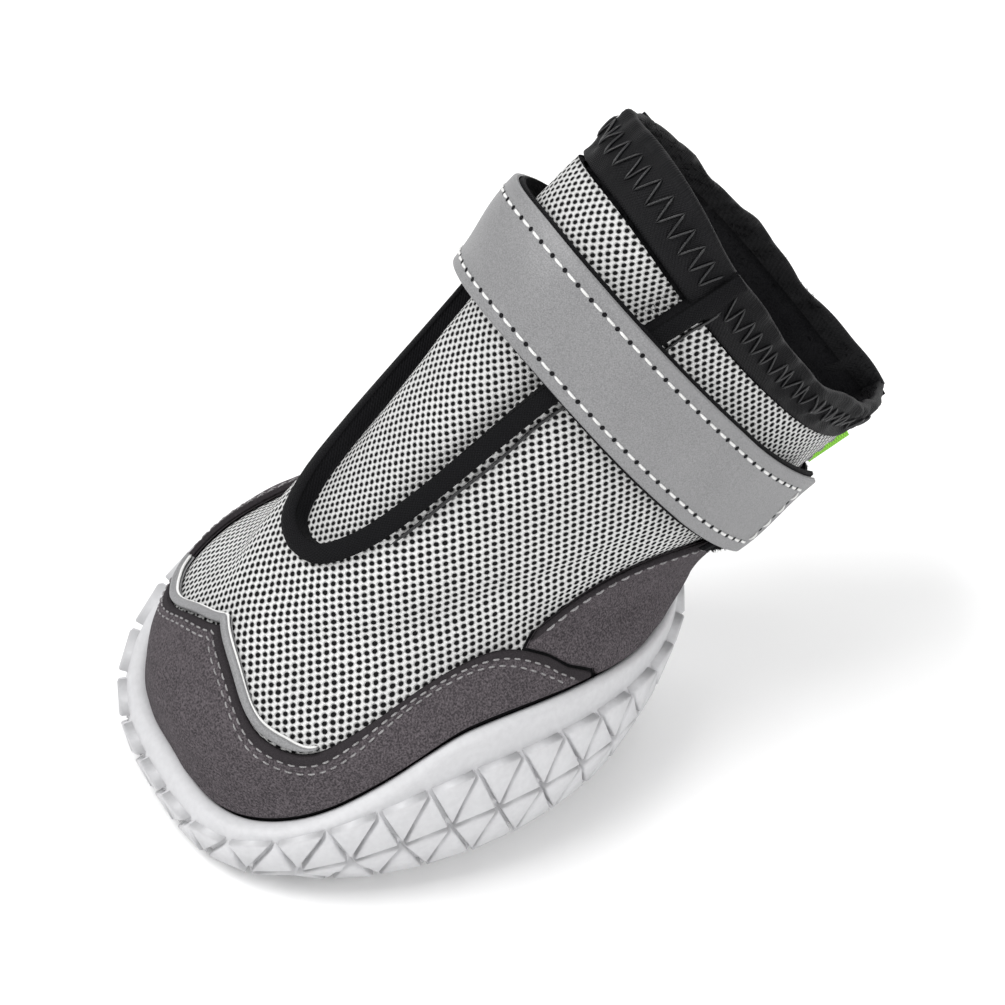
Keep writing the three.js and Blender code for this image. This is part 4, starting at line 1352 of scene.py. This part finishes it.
@dataclass(frozen=True)
class Collar:
    """Stretch collar in two parts, with zigzag stitches and a pile lining.

    Band gives the heights of the dark band that lies behind the joint with the shell.
    """

    last: Last
    thick: float = 1.8
    proud: float = 0.2
    rim: float = RIM - 0.07
    rim_rise: float = 1.3
    pucker: float = 0.62
    fibres: int = 12000
    fibre_length: float = 1.1
    band: tuple[float, float] = (-1.95, -2.15)
    stitch_level: float = 7.78
    stitch_reach: float = 0.11
    stitch_pitch: float = 1.45
    ruffle: Wobble = field(default_factory=lambda: Wobble(SEED + 3, 4.5))
    sway: Wobble = field(default_factory=lambda: Wobble(SEED + 4, 24.0))

    def build(self) -> None:
        """Builds both parts, their stitches and the lining."""
        arm = self.last.throat_half
        zigzag = Builder("collar_zigzag")
        parts = (
            ("collar_front", "collar_tongue", lambda v: 0.5 - arm(v), lambda v: arm(v) - 0.5, 90),
            ("collar_back", "collar_quarter", lambda v: arm(v) + 0.5, lambda v: 359.5 - arm(v), 240),
        )
        for name, node, start, end, along in parts:
            builder = Builder(name)
            self._part(builder, start, end, along)
            builder.build(KNIT, "collar_knit", node)
            self._zigzag(zigzag, start, end)
        zigzag.build(BLACK_THREAD, "collar_knit")
        self._lining()

    def _bump(self, a: Array, v: Array) -> Array:
        """Returns the collar's small puckers over the skin."""
        place = self.last.flat(a, v) * [1.0, 0.4]
        return self.pucker * self.ruffle(place) * smoothstep(v, BAND, BAND + 0.12)

    def _part(self, builder: Builder, start: Callable, end: Callable, along: int) -> None:
        """Adds one part: outside, rounded rim and inside in one section."""
        last = self.last
        level = np.linspace(BAND + 0.005, self.rim, 14)
        share = np.linspace(0, 1, along)

        def angles(v: Array) -> Array:
            """Returns the angles of the part at each level."""
            return start(v)[None] + (end(v) - start(v))[None] * share[:, None]

        a = angles(level)
        v = np.repeat(level[None], along, 0)
        outer = last.raised(a, v, self.proud + self._bump(a, v))
        inner = last.raised(a, v, -self.thick + 0.6 * self._bump(a, v))
        rim_a = angles(np.array([self.rim]))[:, 0]
        rim_v = np.full(along, self.rim)
        top = unit(last.skin(rim_a, rim_v + 0.05) - last.skin(rim_a, rim_v - 0.05))
        middle = 0.5 * (outer[:, -1] + inner[:, -1])
        reach = 0.5 * (outer[:, -1] - inner[:, -1])
        flat, rim_flat = last.flat(a, v), last.flat(rim_a, rim_v)
        height = self.rim_rise + 0.7 * self.sway(rim_flat)
        turn = np.linspace(0, np.pi, 9)[1:-1]
        arc = middle[:, None] + reach[:, None] * np.cos(turn)[None, :, None]
        arc = arc + (top * height[:, None])[:, None] * np.sin(turn)[None, :, None] ** 0.7
        rim_flats = np.repeat(rim_flat[:, None], len(turn), 1)
        flats = np.concatenate([flat, rim_flats, flat[:, ::-1]], 1)
        section = np.concatenate([outer, arc, inner[:, ::-1]], 1)
        builder.grid(section, flats)
        builder.grid(np.stack([outer[:, 0], inner[:, 0]], 1), flip=True)
        half = len(level) + len(turn) // 2
        for edge, flip in ((0, False), (-1, True)):
            end_cap = np.stack([section[edge, :half], section[edge, ::-1][:half]])
            builder.grid(end_cap, flip=flip)

    def _zigzag(self, builder: Builder, start: Callable, end: Callable) -> None:
        """Adds zigzag stitches along the middle of the band."""
        last = self.last
        middle = np.full(400, self.stitch_level)
        share = np.linspace(0.02, 0.98, 400)
        a = start(middle) + (end(middle) - start(middle)) * share
        run = last.flat(a, middle)[:, 0]
        count = int(abs(run[-1] - run[0]) / self.stitch_pitch)
        turn = np.interp(np.linspace(run[0], run[-1], count), run, a)
        v = self.stitch_level + self.stitch_reach * (-1.0) ** np.arange(count)
        for k in range(count - 1):
            t = np.linspace(0.03, 0.97, 7)
            angle = turn[k] + (turn[k + 1] - turn[k]) * t
            level = v[k] + (v[k + 1] - v[k]) * t
            lift = self.proud + self._bump(angle, level) + 0.12 + 0.16 * np.sin(np.pi * t)
            builder.tube(last.raised(angle, level, lift), 0.22, 6)

    def _lining(self) -> None:
        """Builds the pile inside the collar and the top of the shaft, and a band behind the joint."""
        last = self.last
        rng = np.random.default_rng(SEED)
        a = rng.uniform(0, 360, self.fibres)
        v = rng.uniform(6.2, RIM - 0.02, self.fibres)
        deep = np.where(v > BAND, self.thick, last.size.wall)
        roots = last.raised(a, v, -deep + 0.1)
        builder = Builder("collar_pile")
        level = np.linspace(BAND - 0.25, BAND + 0.25, 7)
        round_band = np.meshgrid(np.linspace(0, 360, 181), level, indexing="ij")
        builder.slab(*(last.raised(*round_band, height) for height in self.band))
        pile(builder, roots, -last.normal(a, v), self.fibre_length, rng)
        builder.build(PILE, "loop_pile")


@dataclass(frozen=True)
class Strap:
    """Reflective strap on black backing, its stitches, loop tape and webbing.

    Line is v of its middle over the angle, and bow how far it stands off, as a share of arc.
    """

    last: Last
    width: float = 17.0
    face: float = 0.9
    backing: float = 0.7
    pad: float = 0.8
    arc: float = 1.2
    ends: tuple[float, float] = (-172.0, 125.0)
    inset: float = 2.4
    end_inset: float = 4.2
    fibres: int = 5200

    LINE = [(-172, 6.4), (-120, 6.45), (-60, 6.5), (0, 6.58), (60, 6.6), (120, 6.58), (160, 6.54)]
    BOW = [(-172, 0), (-140, 0), (-110, 0.1), (-75, 0.3), (-45, 0.3), (-20, 0.2), (30, 0)]

    def _grid(self, angle: Array, across: Array) -> tuple[Array, Array, Array]:
        """Returns angle, v and lift at distances across from the strap's middle line."""
        size = self.last.size
        columns = (angle, Curve(self.LINE)(angle), Curve(self.BOW)(angle))
        a, middle, bow = (np.repeat(column[:, None], len(across), 1) for column in columns)
        lift = size.suede + 3 * size.gap + self.pad + self.arc * bow
        return a, self.last.higher(a, middle, across[None]), lift

    def build(self) -> None:
        """Builds face, backing, stitches and what lies under the strap."""
        last, size = self.last, self.last.size
        angle = self.ends[0] + (self.ends[1] - self.ends[0]) * spread(220, 0.0016)
        half, above = self.width / 2, self.backing + size.gap
        layers = (
            ("strap_front", self.face, above, half, REFLECTIVE, "reflective_strap", "strap_face"),
            ("strap_back", self.backing, 0.0, half + 0.5, BINDING, "black_webbing", "strap_backing"),
        )
        for name, thick, base, reach, finish, slot, node in layers:
            across = -reach + 2 * reach * spread(20, 0.012)
            a, v, lift = self._grid(angle, across)
            edge = np.minimum(across + reach, reach - across)[None]
            ends = np.minimum(a - self.ends[0], self.ends[1] - a) * 0.45
            crown = 0.25 + 0.75 * rounded(edge, 0.35) * rounded(ends, 0.35)
            run = last.flat(a, np.full(a.shape, 6.6))[..., 0]
            flats = np.stack([run, np.repeat(across[None], len(angle), 0)], -1)
            builder = Builder(name)
            outer = last.raised(a, v, lift + base + thick * crown)
            builder.slab(outer, last.raised(a, v, lift + base), flats)
            builder.build(finish, slot, node)
        self._stitches()
        self._pads()

    def _stitches(self) -> None:
        """Adds white stitches along both edges and across the free end, with needle holes."""
        last, size = self.last, self.last.size
        top = self.backing + size.gap + self.face
        thread = Thread(pitch=3.0, length=2.05, width=0.48, height=0.28)
        stitches, holes = Builder("strap_stitches"), Builder("strap_needle_holes")
        end = self.ends[1] - self.end_inset
        reach = self.width / 2 - self.inset
        angle = np.linspace(self.ends[0] + 2, end, 500)
        lines = [self._grid(angle, np.array([place])) for place in (-reach, reach)]
        lines.append(self._grid(np.array([end]), np.linspace(-reach, reach, 30)))
        for a, v, lift in lines:
            a, v, lift = a.ravel(), v.ravel(), lift.ravel()
            path, up = last.raised(a, v, lift + top), last.normal(a, v)
            centres, ups = thread.sew(stitches, path, up)
            punch(holes, centres + 0.04 * ups, ups, radius=0.42)
        stitches.build(WHITE_THREAD, "reflective_strap")
        holes.build(PILE, "reflective_strap")

    def _pads(self) -> None:
        """Builds the loop tape under the free end and the ribbed webbing behind."""
        last, size = self.last, self.last.size
        inner = size.suede + 2 * size.gap
        pads = (
            ("loop_tape", (118, 173.5), (5.7, 6.95), PILE, "loop_pile"),
            ("heel_webbing", (186.5, 250), (5.75, 6.9), WEBBING, "black_webbing"),
        )
        for node, sides, (low, high), finish, slot in pads:
            builder = Builder(f"{node}_pad")
            panel = Panel(last, *sides, lambda a, low=low: np.full(a.shape, low),
                          lambda a, high=high: np.full(a.shape, high))
            panel.lay(builder, inner, self.pad, 70, 26, round_edge=0.3)
            builder.build(finish, slot, node)
        rng = np.random.default_rng(SEED + 5)
        a, v = rng.uniform(120, 173.4, self.fibres), rng.uniform(5.71, 6.94, self.fibres)
        builder = Builder("loop_tape_pile")
        pile(builder, last.raised(a, v, inner + self.pad - 0.1), last.normal(a, v), 0.7, rng)
        builder.build(PILE, "loop_pile")


@dataclass(frozen=True)
class BackSeam:
    """Black tape over the back seam and the plain green tab on it."""

    last: Last
    tape: float = 0.8
    tab_height: float = 3.0
    tab_thick: float = 1.2

    def build(self) -> None:
        """Builds the tape and the tab."""
        last, size = self.last, self.last.size
        below = np.linspace(6.1, BAND - 0.05, 50)
        level = np.concatenate([below, np.linspace(BAND + 0.03, RIM - 0.03, 18)])
        share = spread(16, 0.04)
        a, v = np.meshgrid(174 + 12 * share, level, indexing="ij")
        base = np.where(v < BAND, size.suede + 2 * size.gap, 0.2 + size.gap)
        crown = 0.3 + 0.7 * rounded(np.minimum(share, 1 - share) * 4, 0.5)[:, None]
        builder = Builder("back_tape")
        outer = last.raised(a, v, base + self.tape * crown)
        builder.slab(outer, last.raised(a, v, base), last.flat(a, v))
        builder.build(BINDING, "black_webbing", "seam_tape")
        level = np.linspace(7.0, BAND - 0.06, 24)
        foot = size.suede + 3 * size.gap + self.tape
        builder = Builder("green_tab")
        angle = np.full(24, 180.0)
        turn = np.linspace(-np.pi / 2, np.pi / 2, 7)
        rounds = [(foot, self.tab_thick / 2)]
        rounds += [(foot + self.tab_height - 0.6 + 0.6 * np.cos(t), -0.6 * np.sin(t)) for t in turn]
        rounds += [(foot, -self.tab_thick / 2)]
        grid = np.stack([last.raised(angle, level, h) * [0, 1, 1] + [x, 0, 0] for h, x in rounds])
        along = np.meshgrid(np.arange(len(rounds)) * 0.6, np.linspace(0, 9, 24), indexing="ij")
        flats = np.stack(along, -1)
        builder.grid(grid, flats, flip=True)
        builder.grid(np.stack([grid[0], grid[-1]]), flip=False)
        for edge, flip in ((0, True), (-1, False)):
            row = grid[:, edge]
            builder.grid(np.stack([row, np.broadcast_to(row.mean(0), row.shape)]), flip=flip)
        builder.build(GREEN, "tab_weave", "heel_tab")


@dataclass(frozen=True)
class Studio:
    """Plain pale floor, soft lights and the camera at the photo's angle to the boot."""

    azimuth: float = 60.0
    elevation: float = 44.0
    roll: float = 4.0
    pivot: tuple[float, float, float] = (0.0, 0.0, 0.055)
    distance: float = 0.7
    lens: float = 158.0
    shift: tuple[float, float] = (0.0746, -0.0246)

    def build(self) -> None:
        """Builds floor, lights, world and camera."""
        self._floor()
        self._lights()
        self._camera()

    def _floor(self) -> None:
        """Builds the floor, which isn't part of the boot."""
        mesh = bpy.data.meshes.new("studio_floor")
        reach = 3.0
        corners = [(-reach, -reach, 0), (reach, -reach, 0), (reach, reach, 0), (-reach, reach, 0)]
        mesh.from_pydata(corners, [], [(0, 1, 2, 3)])
        floor = bpy.data.objects.new("studio_floor", mesh)
        bpy.context.scene.collection.objects.link(floor)
        material = bpy.data.materials.new("pale_floor")
        material.use_nodes = True
        shader = material.node_tree.nodes["Principled BSDF"]
        shader.inputs["Base Color"].default_value = (0.9, 0.9, 0.9, 1)
        shader.inputs["Roughness"].default_value = 0.9
        mesh.materials.append(material)

    def _lights(self) -> None:
        """Places three soft lights and an even sky."""
        lights = (
            ("key", (-0.25, -0.7, 1.1), 0.8, 15.0),
            ("fill", (1.0, 0.1, 0.6), 0.9, 7.0),
            ("back", (-0.6, 0.9, 0.8), 0.6, 7.0),
        )
        for name, place, size, power in lights:
            data = bpy.data.lights.new(name, "AREA")
            data.size, data.energy = size, power
            lamp = bpy.data.objects.new(name, data)
            lamp.location = place
            towards = Vector((0, 0, 0.05)) - Vector(place)
            lamp.rotation_euler = towards.to_track_quat("-Z", "Y").to_euler()
            bpy.context.scene.collection.objects.link(lamp)
        world = bpy.data.worlds.new("studio")
        world.use_nodes = True
        world.node_tree.nodes["Background"].inputs["Color"].default_value = (1, 1, 1, 1)
        world.node_tree.nodes["Background"].inputs["Strength"].default_value = 0.55
        bpy.context.scene.world = world
        bpy.context.scene.view_settings.view_transform = "Standard"

    def _camera(self) -> None:
        """Places the camera round the pivot, rolled as the photo is."""
        az, el, roll = (np.radians(x) for x in (self.azimuth, self.elevation, self.roll))
        back = np.array([np.sin(az) * np.cos(el), -np.cos(az) * np.cos(el), np.sin(el)])
        level = np.array([np.cos(az), np.sin(az), 0.0])
        upright = np.cross(back, level)
        right = np.cos(roll) * level + np.sin(roll) * upright
        up = np.cos(roll) * upright - np.sin(roll) * level
        data = bpy.data.cameras.new("camera")
        data.lens, data.sensor_width = self.lens, 36.0
        data.shift_x, data.shift_y = self.shift
        data.clip_start = 0.01
        camera = bpy.data.objects.new("camera", data)
        turn = Matrix((right, up, back)).transposed().to_4x4()
        place = Vector(self.pivot) + Vector(back) * self.distance
        camera.matrix_world = Matrix.Translation(place) @ turn
        bpy.context.scene.collection.objects.link(camera)
        bpy.context.scene.camera = camera


def main() -> None:
    """Builds the dressed boot and its studio."""
    logging.basicConfig(level=logging.INFO, format="%(message)s")
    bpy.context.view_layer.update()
    last = Last(Size())
    for part in (Sole(last), Upper(last), Panels(last), Collar(last), Strap(last), BackSeam(last)):
        part.build()
        LOG.info("built %s", type(part).__name__)
    Studio().build()


if __name__ == "__main__":
    main()
